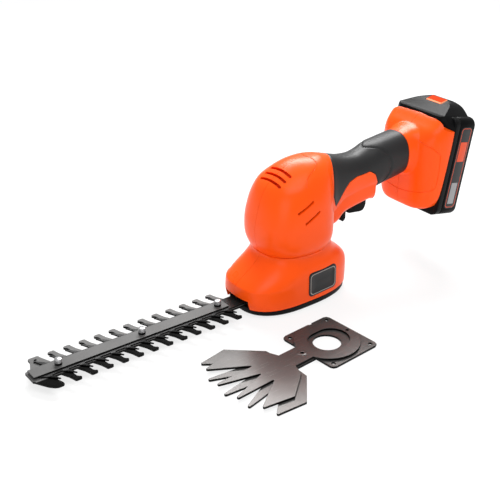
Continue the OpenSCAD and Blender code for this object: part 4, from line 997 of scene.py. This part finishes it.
class SHEARS_OT_housing(bpy.types.Operator):
    """Builds the two halves of the moulded housing"""

    bl_idname = "shears.housing"
    bl_label = "Housing halves"

    def execute(self, context):
        look = context.scene.shears_shell
        shell = housing_outer(look.voxel)
        boolean(shell, waist_groove())
        # The block's line goes all the way up on the left half only
        for line in (DOME_LINE[::-1] + mirrored(DOME_LINE), BLOCK_LINE + mirrored(BLOCK_LINE[:4:-1])):
            boolean(shell, line_groove(shell, line))
        boolean(shell, housing_hollow())
        cut_housing(shell)
        for side, _ in HANDS:
            boolean(shell, grip_skin("recess", side, lambda *a: RECESS_REACH, GRIP_T + 0.12, RECESS_GROW, 60, 24))
        gap = look.seam / MM
        for (_, hand), (low, high) in zip(HANDS, ((-90, -gap), (gap, 90))):
            half = new_object("housing_" + hand, shell.data.copy())
            boolean(half, box_mesh("half", (-90, low, -9), (260, high, 260)), "INTERSECT")
            settle(half, "housing", housing_orange(), (hand + "_housing",), 28)
        drop(shell)
        return {"FINISHED"}


class SHEARS_OT_grip(bpy.types.Operator):
    """Builds the soft grip on the handle"""

    bl_idname = "shears.grip"
    bl_label = "Grip"

    def execute(self, context):
        for side, hand in HANDS:
            skin = grip_skin("grip_" + hand, side, grip_lift, GRIP_T, 0.0)
            settle(skin, "housing", grip_black(), (hand + "_grip",), 50)
        return {"FINISHED"}


def base_side(x, z):
    """The half width of the base's wall at a place and a height."""
    f, r, w, _ = row_at(BASE_TABLE, z)
    reach = WIDEST_X - f if x < WIDEST_X else r - WIDEST_X
    return w * (1 - (abs(x - WIDEST_X) / reach) ** BASE_TAIL) ** (1 / BASE_TAIL)


class SHEARS_OT_badges(bpy.types.Operator):
    """Builds the bare plates on the base's walls"""

    bl_idname = "shears.badges"
    bl_label = "Bare plates"

    def execute(self, context):
        outline = round_rect(-BADGE_HALF_X, BADGE_HALF_X, -BADGE_HALF_Z, BADGE_HALF_Z, 4, 6)
        count = len(outline)
        rim = plastic("plate_rim", (0.30, 0.27, 0.25), (0.32, 0.42), 1600, 0.05, 30, 0.08)
        for side, hand in HANDS:
            rings = []
            for inset, lift in BADGE_STEPS:
                scale_x, scale_z = 1 - inset / BADGE_HALF_X, 1 - inset / BADGE_HALF_Z
                places = [(BADGE_X + x * scale_x, BADGE_Z + z * scale_z) for x, z in outline]
                rings.append([(x, side * (base_side(x, z) + lift), z) for x, z in places])
            badge = loft("plate_" + hand, rings)
            settle(badge, "housing", plate_satin(), (hand + "_badge",), 35)
            badge.data.materials.append(rim)
            # The two flat ends of a loft come first, and then one row of faces for each step
            for face in badge.data.polygons[2 + BADGE_RIM_STEP * count:2 + (BADGE_RIM_STEP + 1) * count]:
                face.material_index = 1
        return {"FINISHED"}


def sole_form(name, steps):
    return loft(name, [
        plan_ring(z, SOLE_FRONT + inset, WIDEST_X, SOLE_REAR - inset, SOLE_HALF - inset, SOLE_NOSE, BASE_TAIL)
        for z, inset in steps
    ])


class SHEARS_OT_sole(bpy.types.Operator):
    """Builds the sole and its catch"""

    bl_idname = "shears.sole"
    bl_label = "Sole"

    def execute(self, context):
        sole = sole_form("sole", SOLE_STEPS)
        boolean(sole, sole_form("sole_hollow", SOLE_HOLLOW))
        posts = [rod("post", (x, y, SOLE_FLOOR), (x, y, SOLE_H), 4) for x, y in PINS]
        boolean(sole, join("posts", posts), "UNION")
        boolean(sole, rod("boss", (0, 0, SOLE_FLOOR), (0, 0, SOLE_H), 15, 64), "UNION")
        boolean(sole, rod("spigot", (0, 0, SOLE_FLOOR), (0, 0, 8.7), 11.7, 64), "UNION")
        boolean(sole, box_mesh("tongue", (46.5, -6, SOLE_FLOOR), (49, 6, 14)), "UNION")
        boolean(sole, prism("heel", HEEL, "y", -60, 60))
        settle(sole, "sole", case_black(), ("sole_plate",))
        catch = prism("catch", soften(CATCH, 0.8), "y", -7.5, 7.5)
        boolean(catch, join("grooves", [rod("groove", (68, -20, z), (68, 20, z), 0.5, 16) for z in CATCH_GROOVES]))
        settle(catch, "sole_catch", case_black(), ("sole_latch",))
        return {"FINISHED"}


class SHEARS_OT_controls(bpy.types.Operator):
    """Builds the trigger, its spring and the lock-off button"""

    bl_idname = "shears.controls"
    bl_label = "Trigger and lock-off"

    def execute(self, context):
        lever = prism("trigger", soften(TRIGGER_SIDE, 2.2, keep=(0, 7), steps=4), "y", -6.5, 6.5)
        bevel(lever, 0.9, 3)
        boolean(lever, box_mesh("flange", *TRIGGER_FLANGE), "UNION")
        boolean(lever, rod("plunger", *TRIGGER_PLUNGER), "UNION")
        settle(lever, "trigger_lever", case_black(), ("trigger",))
        button = prism("lock_off", soften(LOCK_TAB, 0.8, keep=(0, 6)), "y", -5, 5)
        bevel(button, 0.6, 2)
        boolean(button, rod("pin_bore", *LOCK_BORE))
        settle(button, "lock_off", case_black(), ("lock_off_button",))
        coil = tidy_normals(new_object("trigger_coil", frame["nodes"]["trigger_spring"].data.copy()))
        settle(coil, "housing", bolt_bright(), ("trigger_spring",), 40)
        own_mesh(coil)
        return {"FINISHED"}


# Hedge blade


def tooth_x(i):
    return -LAST_TOOTH - TOOTH_PITCH * (TOOTH_COUNT - i)


def comb_tooth(x):
    return [
        (x + 3.2, SPINE_HALF), (x + 2.2, 14.8), (x + 1.6, 19.4), (x + 0.6, 20.9), (x - 0.7, 21.7), (x - 1.0, 22.9),
        (x - 0.4, 23.9), (x + 0.9, COMB_HALF), (x + TIP_W - 1, COMB_HALF), (x + TIP_W, 23.4), (x + TIP_W + 0.3, 21.6),
        (x + 7.0, 16.4), (x + 10.4, SPINE_HALF),
    ]


def cutter_tooth(x):
    return [(x + 1.4, 8.6), (x - 1.4, 15.4), (x - 2.3, 16.8), (x - 1.5, 17), (x + 6.4, 8.6)]


def tooth_rows(tooth, first):
    """The near teeth from the nose to the base, and the far ones back again."""
    places = [tooth_x(i) for i in range(first, TOOTH_COUNT + 1)]
    near = [(2 * x + TIP_W - p[0], -p[1]) for x in places for p in reversed(tooth(x))]
    far = [p for x in reversed(places) for p in reversed(tooth(x))]
    return near, far


def comb_outline():
    x0 = NOSE_TOOTH
    near, far = tooth_rows(comb_tooth, 1)
    nose = [
        (x0 + 10.4, SPINE_HALF), (x0 + TIP_W + 0.3, 21.6), (x0 + TIP_W, 23.4), (x0 + TIP_W - 1, COMB_HALF),
        (x0 - 3, COMB_HALF), (x0 - 4.2, 23.2), (x0 - 4.4, 19), (x0 - 8.5, SPINE_HALF),
        (NOSE_X + 0.6, BAR_W / 2 + 1.6), (NOSE_X, BAR_W / 2 + 0.6), (NOSE_X, -BAR_W / 2 - 1),
        (NOSE_X + 1, -BAR_W / 2 - 2),
    ]
    claw = [
        (x0 - 9.5, -14.4), (x0 - 6.4, -19.6), (x0 - 3, -23), (x0 - 0.4, -COMB_HALF), (x0 + 3.4, -COMB_HALF),
        (x0 + 4.9, -23.4), (x0 + 5.1, -21.6), (x0 + 3.4, -16), (x0 + 2.6, -SPINE_HALF),
    ]
    base = [
        (-23.5, -SPINE_HALF), (-23.5, -25), (-22, -28), (-19.5, -29), (26, -29), (29.3, -27.5), (30.5, -24),
    ]
    return claw + near + base + flipped(base) + far + nose


def cutter_outline():
    near, far = tooth_rows(cutter_tooth, 0)
    front = NOSE_X + 5
    near = [(x - 2.1, y) for x, y in near]
    return near + YOKE_HALF + flipped(YOKE_HALF) + far + [(front + 1, 6.6), (front, 0), (front + 1, -6.6)]


class SHEARS_OT_hedge_blade(bpy.types.Operator):
    """Builds the comb, the cutter and the guide bar of the hedge blade"""

    bl_idname = "shears.hedge_blade"
    bl_label = "Hedge blade"

    def execute(self, context):
        edge = context.scene.shears_blades.edge / MM
        bolt_holes = [circle(x, 0, BOLT_HOLE) for x in BOLT_X]
        holes = [circle(0, 0, DRIVE_HOLE, 64)] + [circle(x, y, PIN_HOLE) for x, y in PINS] + bolt_holes
        holes.append(circle(NOSE_TOOTH + 0.6, 19.5, 1.2, 20))
        comb = plate("comb", [comb_outline()] + holes, SOLE_H, COMB_T, edge)
        steel = tooth_steel("comb_steel", (0.12, 0.119, 0.118), (0.3, 0.42), 0.2)
        settle(comb, "housing", steel, ("guard_comb",), PLATE_ANGLE)
        slots = [slot_line(x, 14, 6.6) for x in BOLT_X]
        cutter = plate("cutter", [cutter_outline(), YOKE_WINDOW] + slots, CUTTER_Z, CUTTER_T, edge * 0.8)
        steel = tooth_steel("cutter_steel", (0.03, 0.03, 0.03), (0.2, 0.3), 0.5)
        settle(cutter, "cutter", steel, ("cutter_blade",), PLATE_ANGLE)
        strip = round_rect(NOSE_X + 1.5, -59.4, -BAR_W / 2, BAR_W / 2, 0.7)
        bar = plate("bar", [strip] + bolt_holes, BAR_Z, BAR_T, edge)
        steel = metal("bar_steel", (0.1, 0.099, 0.098), (0.36, 0.46), sheen=0.2, gloss=0.03)
        settle(bar, "housing", steel, ("blade_bar",), PLATE_ANGLE)
        # Painted shade on the upright edges of the three plates.
        shade_plate_edges(comb, cutter, bar)
        return {"FINISHED"}


class SHEARS_OT_fasteners(bpy.types.Operator):
    """Lays out the bolts, nuts, spacers and housing screws"""

    bl_idname = "shears.fasteners"
    bl_label = "Fasteners"

    def execute(self, context):
        row = [(x, 0, 0) for x in BOLT_X[:context.scene.shears_blades.bolts]]
        screw = lathe("screw_unit", SCREW_STEPS)
        boolean(screw, lathe("drive", SCREW_DRIVE, 6))
        screw.data.transform(Matrix.Rotation(math.radians(-90), 4, "X"))
        nut = plate("nut_unit", [circle(0, 0, 4.0, 6), circle(0, 0, BOLT_HOLE, 24)], NUT_Z, NUT_T, 0.3)
        sleeve = plate("spacer_unit", [circle(0, 0, 3.2), circle(0, 0, BOLT_HOLE)], SPACER_Z, SPACER_T, 0.1)
        screw_places = [(x, head, z) for x, z, head in SCREWS]
        for name, places, unit, solids, angle in (
            ("bolts", row, lathe("bolt_unit", BOLT_STEPS), "blade_bolts", 35),
            ("nuts", row, nut, "blade_nuts", 30),
            ("spacers", row, sleeve, "blade_spacers", 40),
            ("case_screws", screw_places, screw, "housing_screws", 35),
        ):
            pieces = repeat(name, places, unit)
            settle(pieces, "housing", bolt_bright(), (solids,), angle)
            # Painted shadow on the bolts: below a set height each bolt is nearly black.
            if name == "bolts":
                paint_where(pieces, painted_shade_steel(), lambda centre, normal: centre.z < BOLT_SHADOW_LINE * MM)
        return {"FINISHED"}


# Battery pack


def case_form(name, steps):
    """The pack's rounded case through steps of place and inset."""
    rings = []
    for u, inset in steps:
        outline = round_rect(
            inset - PACK_HALF, PACK_HALF - inset, CASE_BOTTOM + inset, CASE_TOP - inset, CASE_ROUND - inset, 10,
        )
        rings.append([(u, y, v) for y, v in outline])
    return loft(name, rings)


def pack_cap():
    """The cap over the housing's seat, from its side, its front and its plan."""
    cap = prism("cap", soften(CAP_SIDE, 2.0, keep=(0, 1, 7, 8, 9), steps=4), "y", -60, 60)
    brow = soften(CAP_BROW + [(-y, v) for y, v in reversed(CAP_BROW)], 3, keep=(0, 11), steps=5)
    boolean(cap, prism("cap_front", brow + seat_line(PACK_HALF, 31), "x", -40, 60), "INTERSECT")
    plan = soften(CAP_PLAN + flipped(CAP_PLAN), 2.5, keep=(4, 5), steps=5)
    boolean(cap, prism("cap_plan", plan, "z", 0, 90), "INTERSECT")
    return bevel(cap, 0.6, 2, 40)


class SHEARS_OT_battery(bpy.types.Operator):
    """Builds the battery pack's cover and tray"""

    bl_idname = "shears.battery"
    bl_label = "Battery pack"

    def execute(self, context):
        cover = case_form("pack_cover", COVER_STEPS)
        boolean(cover, case_form("cover_hollow", COVER_HOLLOW))
        boolean(cover, box_mesh("stem", *PACK_STEM), "UNION")
        boolean(cover, box_mesh("tongue", *PACK_TONGUE), "UNION")
        boolean(cover, box_mesh("stem_hollow", *STEM_HOLLOW))
        boolean(cover, pack_cap(), "UNION")
        for y in (-8, 8):
            boolean(cover, box_mesh("contact_slot", (-7.7, y - 1, -29), (-3.1, y + 1, -10)))
        reach = LATCH_HALF + 0.3
        pocket = round_rect(LATCH_U[0] - 0.3, LATCH_U[1] + 0.3, -reach, reach, 0.9)
        boolean(cover, prism("latch_pocket", pocket, "z", LATCH_FLOOR, 90))
        settle(on_pack(cover), "battery", case_black(), ("battery_cover",))
        tray = case_form("pack_tray", TRAY_STEPS)
        boolean(tray, case_form("tray_hollow", TRAY_HOLLOW))
        settle(on_pack(tray), "battery", case_black(), ("battery_tray",))
        return {"FINISHED"}


class SHEARS_OT_pack_trim(bpy.types.Operator):
    """Builds the latch button and the plain side bands"""

    bl_idname = "shears.pack_trim"
    bl_label = "Latch and side bands"

    def execute(self, context):
        (front, rear), low = LATCH_U, LATCH_FLOOR + 3.5
        wedge = [(front, low), (rear, low), (rear, CAP_TOP + 0.5), (front, CAP_TOP - 3.1)]
        button = bevel(prism("latch", wedge, "y", -LATCH_HALF, LATCH_HALF), 0.9, 1)
        bright = plastic("latch_bright", (0.45, 0.034, 0.003), (0.6, 0.7), 1500, 0.05, 20, 0.05, 0.02)
        settle(button, "battery_latch", bright, ("latch_button",))
        # Painted highlight: a light peach finish on the chamfer faces that tilt up, standing in for the light they
        # catch.
        rim = plastic("latch_painted_highlight", (0.92, 0.32, 0.15), (0.30, 0.40), 1500, 0.05, 20, 0.05)
        top = Vector((-3.6, 0, 9)).normalized()
        paint_where(button, rim, lambda centre, normal: 0.4 < normal.dot(top) < 0.95)
        on_pack(button)
        bands = (
            plastic("band_grey", (0.028, 0.028, 0.029), (0.34, 0.44), 1700, 0.06, 40, 0.1),
            plastic("band_orange", (0.72, 0.075, 0.02), (0.34, 0.44), 1700, 0.05, 40, 0.06),
            plastic("band_silver", (0.30, 0.30, 0.305), (0.34, 0.44), 1700, 0.05, 40, 0.06),
        )
        quarter = Matrix.Rotation(math.radians(90), 4, "X")
        for (name, layers), finish in zip(PACK_BANDS.items(), bands):
            parts = []
            for side, _ in HANDS:
                turn = Matrix.Translation((0, side * PACK_HALF * MM, 0)) @ quarter @ Matrix.Scale(-side, 4, (0, 0, 1))
                for outlines, *levels in layers:
                    parts.append(plate("layer", [round_rect(*corners) for corners in outlines], *levels, turn))
            band = on_pack(tidy_normals(join(name, parts)))
            settle(band, "battery", finish, ("battery_labels",) if name == "pack_band" else (), 40)
        return {"FINISHED"}


# Grass-shear blades


def fan(r, a):
    """A point at a distance from the rivet and an angle from the fan's middle."""
    a = math.radians(a)
    return (RIVET_X - r * math.cos(a), r * math.sin(a))


def shear_outline(teeth, reach, flare, flare_angle, neck, tail):
    """A plate's outline: its tail, its widening edges and its fan of fingers."""
    edge = [(RIVET_X - 17, neck), fan(30, flare_angle + 4), fan(flare, flare_angle)]
    half = SHEAR_STEP / 2 - 0.7
    finger = [
        (SHEAR_ROOT, half), (reach - 1, 0.95), (reach, 0.5), (reach, -0.5), (reach - 1, -0.95), (SHEAR_ROOT, -half),
    ]
    fingers = [fan(r, ((teeth - 1) / 2 - j) * SHEAR_STEP + a) for j in range(teeth) for r, a in finger]
    return tail + edge + fingers[1:-1] + flipped(edge)


class SHEARS_OT_shear_blades(bpy.types.Operator):
    """Builds the loose grass-shear blade set"""

    bl_idname = "shears.shear_blades"
    bl_label = "Grass-shear blades"

    def execute(self, context):
        edge = context.scene.shears_blades.edge / MM
        place = Matrix.Translation(SHEAR_PLACE * MM) @ Matrix.Rotation(SHEAR_TURN, 4, "Z")
        rivet_hole = circle(RIVET_X, 0, RIVET_R + 0.05)
        holes = [circle(0, 0, DRIVE_HOLE, 64), rivet_hole]
        holes += [circle(x, y, 1.7, 20) for x in (-18.5, 25.5) for y in (-25.5, 25.5)]
        rim = shear_outline(5, 83, 65, 48.9, 11, SHEAR_BASE)
        lower = plate("shear_lower", [rim] + holes, 0.0, SHEAR_T, edge, place)
        settle(lower, "shear_set", blade_grey(), ("shear_comb",), PLATE_ANGLE)
        half = math.pi - math.asin(10 / SHEAR_RING)
        ring = [(SHEAR_RING * math.cos(t), SHEAR_RING * math.sin(t)) for t in np.linspace(-half, half, 72)]
        rim = shear_outline(4, 81, 61, 40.6, 10, ring)
        holes = [slot_line(2, 38, 30, 24), circle(24.5, 0, 1.5, 20), rivet_hole]
        upper = plate("shear_upper", [rim] + holes, SHEAR_T + 0.05, SHEAR_T, edge, place)
        settle(upper, "shear_upper", blade_grey(), ("shear_cutter",), PLATE_ANGLE)
        tube = [circle(RIVET_X, 0, RIVET_R), circle(RIVET_X, 0, 1.5, 24)]
        rivet = plate("shear_rivet_tube", tube, 0.0, 2 * SHEAR_T + 0.05, 0.15, place)
        settle(rivet, "shear_set", blade_grey(), ("shear_rivet",), 35)
        # Painted shade on the upright edges of the shear plates and the rivet tube.
        shade_plate_edges(lower, upper, rivet)
        return {"FINISHED"}


class SHEARS_OT_inner_parts(bpy.types.Operator):
    """Gives the inner solids their finishes"""

    bl_idname = "shears.inner_parts"
    bl_label = "Inner parts"

    def execute(self, context):
        finishes = {
            "bright_steel": bolt_bright(),
            "blade_steel": metal("gear_steel", (0.35, 0.35, 0.355), (0.22, 0.34), (700, 700, 700)),
            "cast_alloy": metal("frame_casting", (0.45, 0.45, 0.46), (0.42, 0.55), (1200, 1200, 1200), 0.2),
            "bearing_bronze": metal("bush_bronze", (0.60, 0.40, 0.16), (0.26, 0.36), (900, 900, 900)),
            "copper": metal("winding_copper", (0.58, 0.24, 0.11), (0.28, 0.38), (300, 300, 2600)),
            "magnet": plastic("magnet_dark", (0.02, 0.02, 0.021), (0.5, 0.6)),
            "cell_can": plastic("cell_sleeve", (0.03, 0.10, 0.21), (0.3, 0.4)),
            "board": plastic("board_green", (0.01, 0.09, 0.03), (0.3, 0.4)),
            "wire": plastic("wire_red", (0.32, 0.01, 0.01), (0.4, 0.5)),
            "black_plastic": case_black(),
            "label": plate_satin(),
            "orange_plastic": housing_orange(),
            "grip_rubber": grip_black(),
            "latch_orange": housing_orange(),
        }
        slots = {s["node"]: s["material_slot"] for s in frame["record"]["subparts"]}
        for name, obj in frame["nodes"].items():
            obj.data.materials.clear()
            obj.data.materials.append(finishes[slots[name]])
        return {"FINISHED"}


def pale_floor():
    """A matt white floor that glows a little for the camera and in reflections, more so far away."""
    mat = bpy.data.materials.new("pale_floor")
    tree = start_nodes(mat)
    place = node(tree, "ShaderNodeTexCoord").outputs["Object"]
    away = node(tree, "ShaderNodeVectorMath", {0: place}, operation="LENGTH").outputs["Value"]
    path = node(tree, "ShaderNodeLightPath").outputs
    seen = node(tree, "ShaderNodeMath", {0: path["Is Camera Ray"], 1: path["Is Glossy Ray"]}, operation="MAXIMUM")
    glow = spread(tree, away, *FLOOR_GLOW, *FLOOR_GLOW_REACH)
    amount = node(tree, "ShaderNodeMath", {0: seen.outputs[0], 1: glow}, operation="MULTIPLY")
    matt = node(tree, "ShaderNodeBsdfDiffuse", {"Color": (0.92, 0.92, 0.92, 1)})
    light = node(tree, "ShaderNodeEmission", {"Color": WHITE})
    mix = node(tree, "ShaderNodeMixShader", {0: amount.outputs[0], 1: matt.outputs[0], 2: light.outputs[0]})
    node(tree, "ShaderNodeOutputMaterial", {"Surface": mix.outputs[0]})
    return mat


def studio_world():
    """A soft white surround that the camera sees as plain white."""
    world = bpy.data.worlds.new("studio")
    tree = start_nodes(world)
    soft, white = (
        node(tree, "ShaderNodeBackground", {"Color": WHITE, "Strength": strength}).outputs[0]
        for strength in (WORLD_STRENGTH, 1.0)
    )
    path = node(tree, "ShaderNodeLightPath").outputs
    mix = node(tree, "ShaderNodeMixShader", {0: path["Is Camera Ray"], 1: soft, 2: white})
    node(tree, "ShaderNodeOutputWorld", {"Surface": mix.outputs[0]})
    return world


class SHEARS_OT_stage(bpy.types.Operator):
    """Builds the floor, the lights, the world and the camera"""

    bl_idname = "shears.stage"
    bl_label = "Studio"

    def execute(self, context):
        scene = context.scene
        look = scene.shears_stage
        corners = [(x * FLOOR_HALF, y * FLOOR_HALF, FLOOR_Z) for x, y in ((-1, -1), (1, -1), (1, 1), (-1, 1))]
        floor = mesh_from("floor", corners, [(0, 1, 2, 3)])
        floor.data.materials.append(pale_floor())
        scene.world = studio_world()
        for (name, (place, target, size)), power in zip(LAMPS.items(), (look.key, look.fill, look.back)):
            light = bpy.data.lights.new(name, "AREA")
            light.shape = "RECTANGLE"
            light.size, light.size_y = size
            light.energy = power
            lamp = new_object(name, light)
            lamp.location = place
            lamp.rotation_euler = (Vector(target) - Vector(place)).to_track_quat("-Z", "Y").to_euler()
        cam = bpy.data.cameras.new("camera")
        cam.lens = look.lens
        cam.sensor_width = 36
        cam.clip_start = 0.01
        eye = new_object("camera", cam)
        flat = math.cos(CAMERA_DIP)
        way = Vector((math.sin(CAMERA_TURN) * flat, math.cos(CAMERA_TURN) * flat, -math.sin(CAMERA_DIP)))
        eye.location = CAMERA_PLACE
        eye.rotation_euler = way.to_track_quat("-Z", "Y").to_euler()
        scene.camera = eye
        scene.view_settings.view_transform = "Standard"
        return {"FINISHED"}


OPERATORS = (
    SHEARS_OT_inner_parts, SHEARS_OT_housing, SHEARS_OT_grip, SHEARS_OT_badges, SHEARS_OT_sole, SHEARS_OT_controls,
    SHEARS_OT_hedge_blade, SHEARS_OT_fasteners, SHEARS_OT_battery, SHEARS_OT_pack_trim, SHEARS_OT_shear_blades,
    SHEARS_OT_stage,
)


class SHEARS_PT_panel(bpy.types.Panel):
    """Lists the pieces and their settings"""

    bl_idname = "SHEARS_PT_panel"
    bl_label = "Cordless grass shears"
    bl_space_type = "VIEW_3D"
    bl_region_type = "UI"
    bl_category = "Shears"

    def draw(self, context):
        for settings in (context.scene.shears_shell, context.scene.shears_blades, context.scene.shears_stage):
            for name in settings.bl_rna.properties.keys():
                if name not in ("rna_type", "name"):
                    self.layout.prop(settings, name)
        for operator in OPERATORS:
            self.layout.operator(operator.bl_idname)


GROUPS = (ShearsShell, ShearsBlades, ShearsStage)


def register():
    for cls in GROUPS + OPERATORS + (SHEARS_PT_panel,):
        bpy.utils.register_class(cls)
    bpy.types.Scene.shears_shell = PointerProperty(type=ShearsShell)
    bpy.types.Scene.shears_blades = PointerProperty(type=ShearsBlades)
    bpy.types.Scene.shears_stage = PointerProperty(type=ShearsStage)


def unregister():
    for name in ("shears_shell", "shears_blades", "shears_stage"):
        delattr(bpy.types.Scene, name)
    for cls in reversed(GROUPS + OPERATORS + (SHEARS_PT_panel,)):
        bpy.utils.unregister_class(cls)


def main():
    register()
    for operator in OPERATORS:
        family, name = operator.bl_idname.split(".")
        getattr(getattr(bpy.ops, family), name)()


if __name__ == "__main__":
    main()
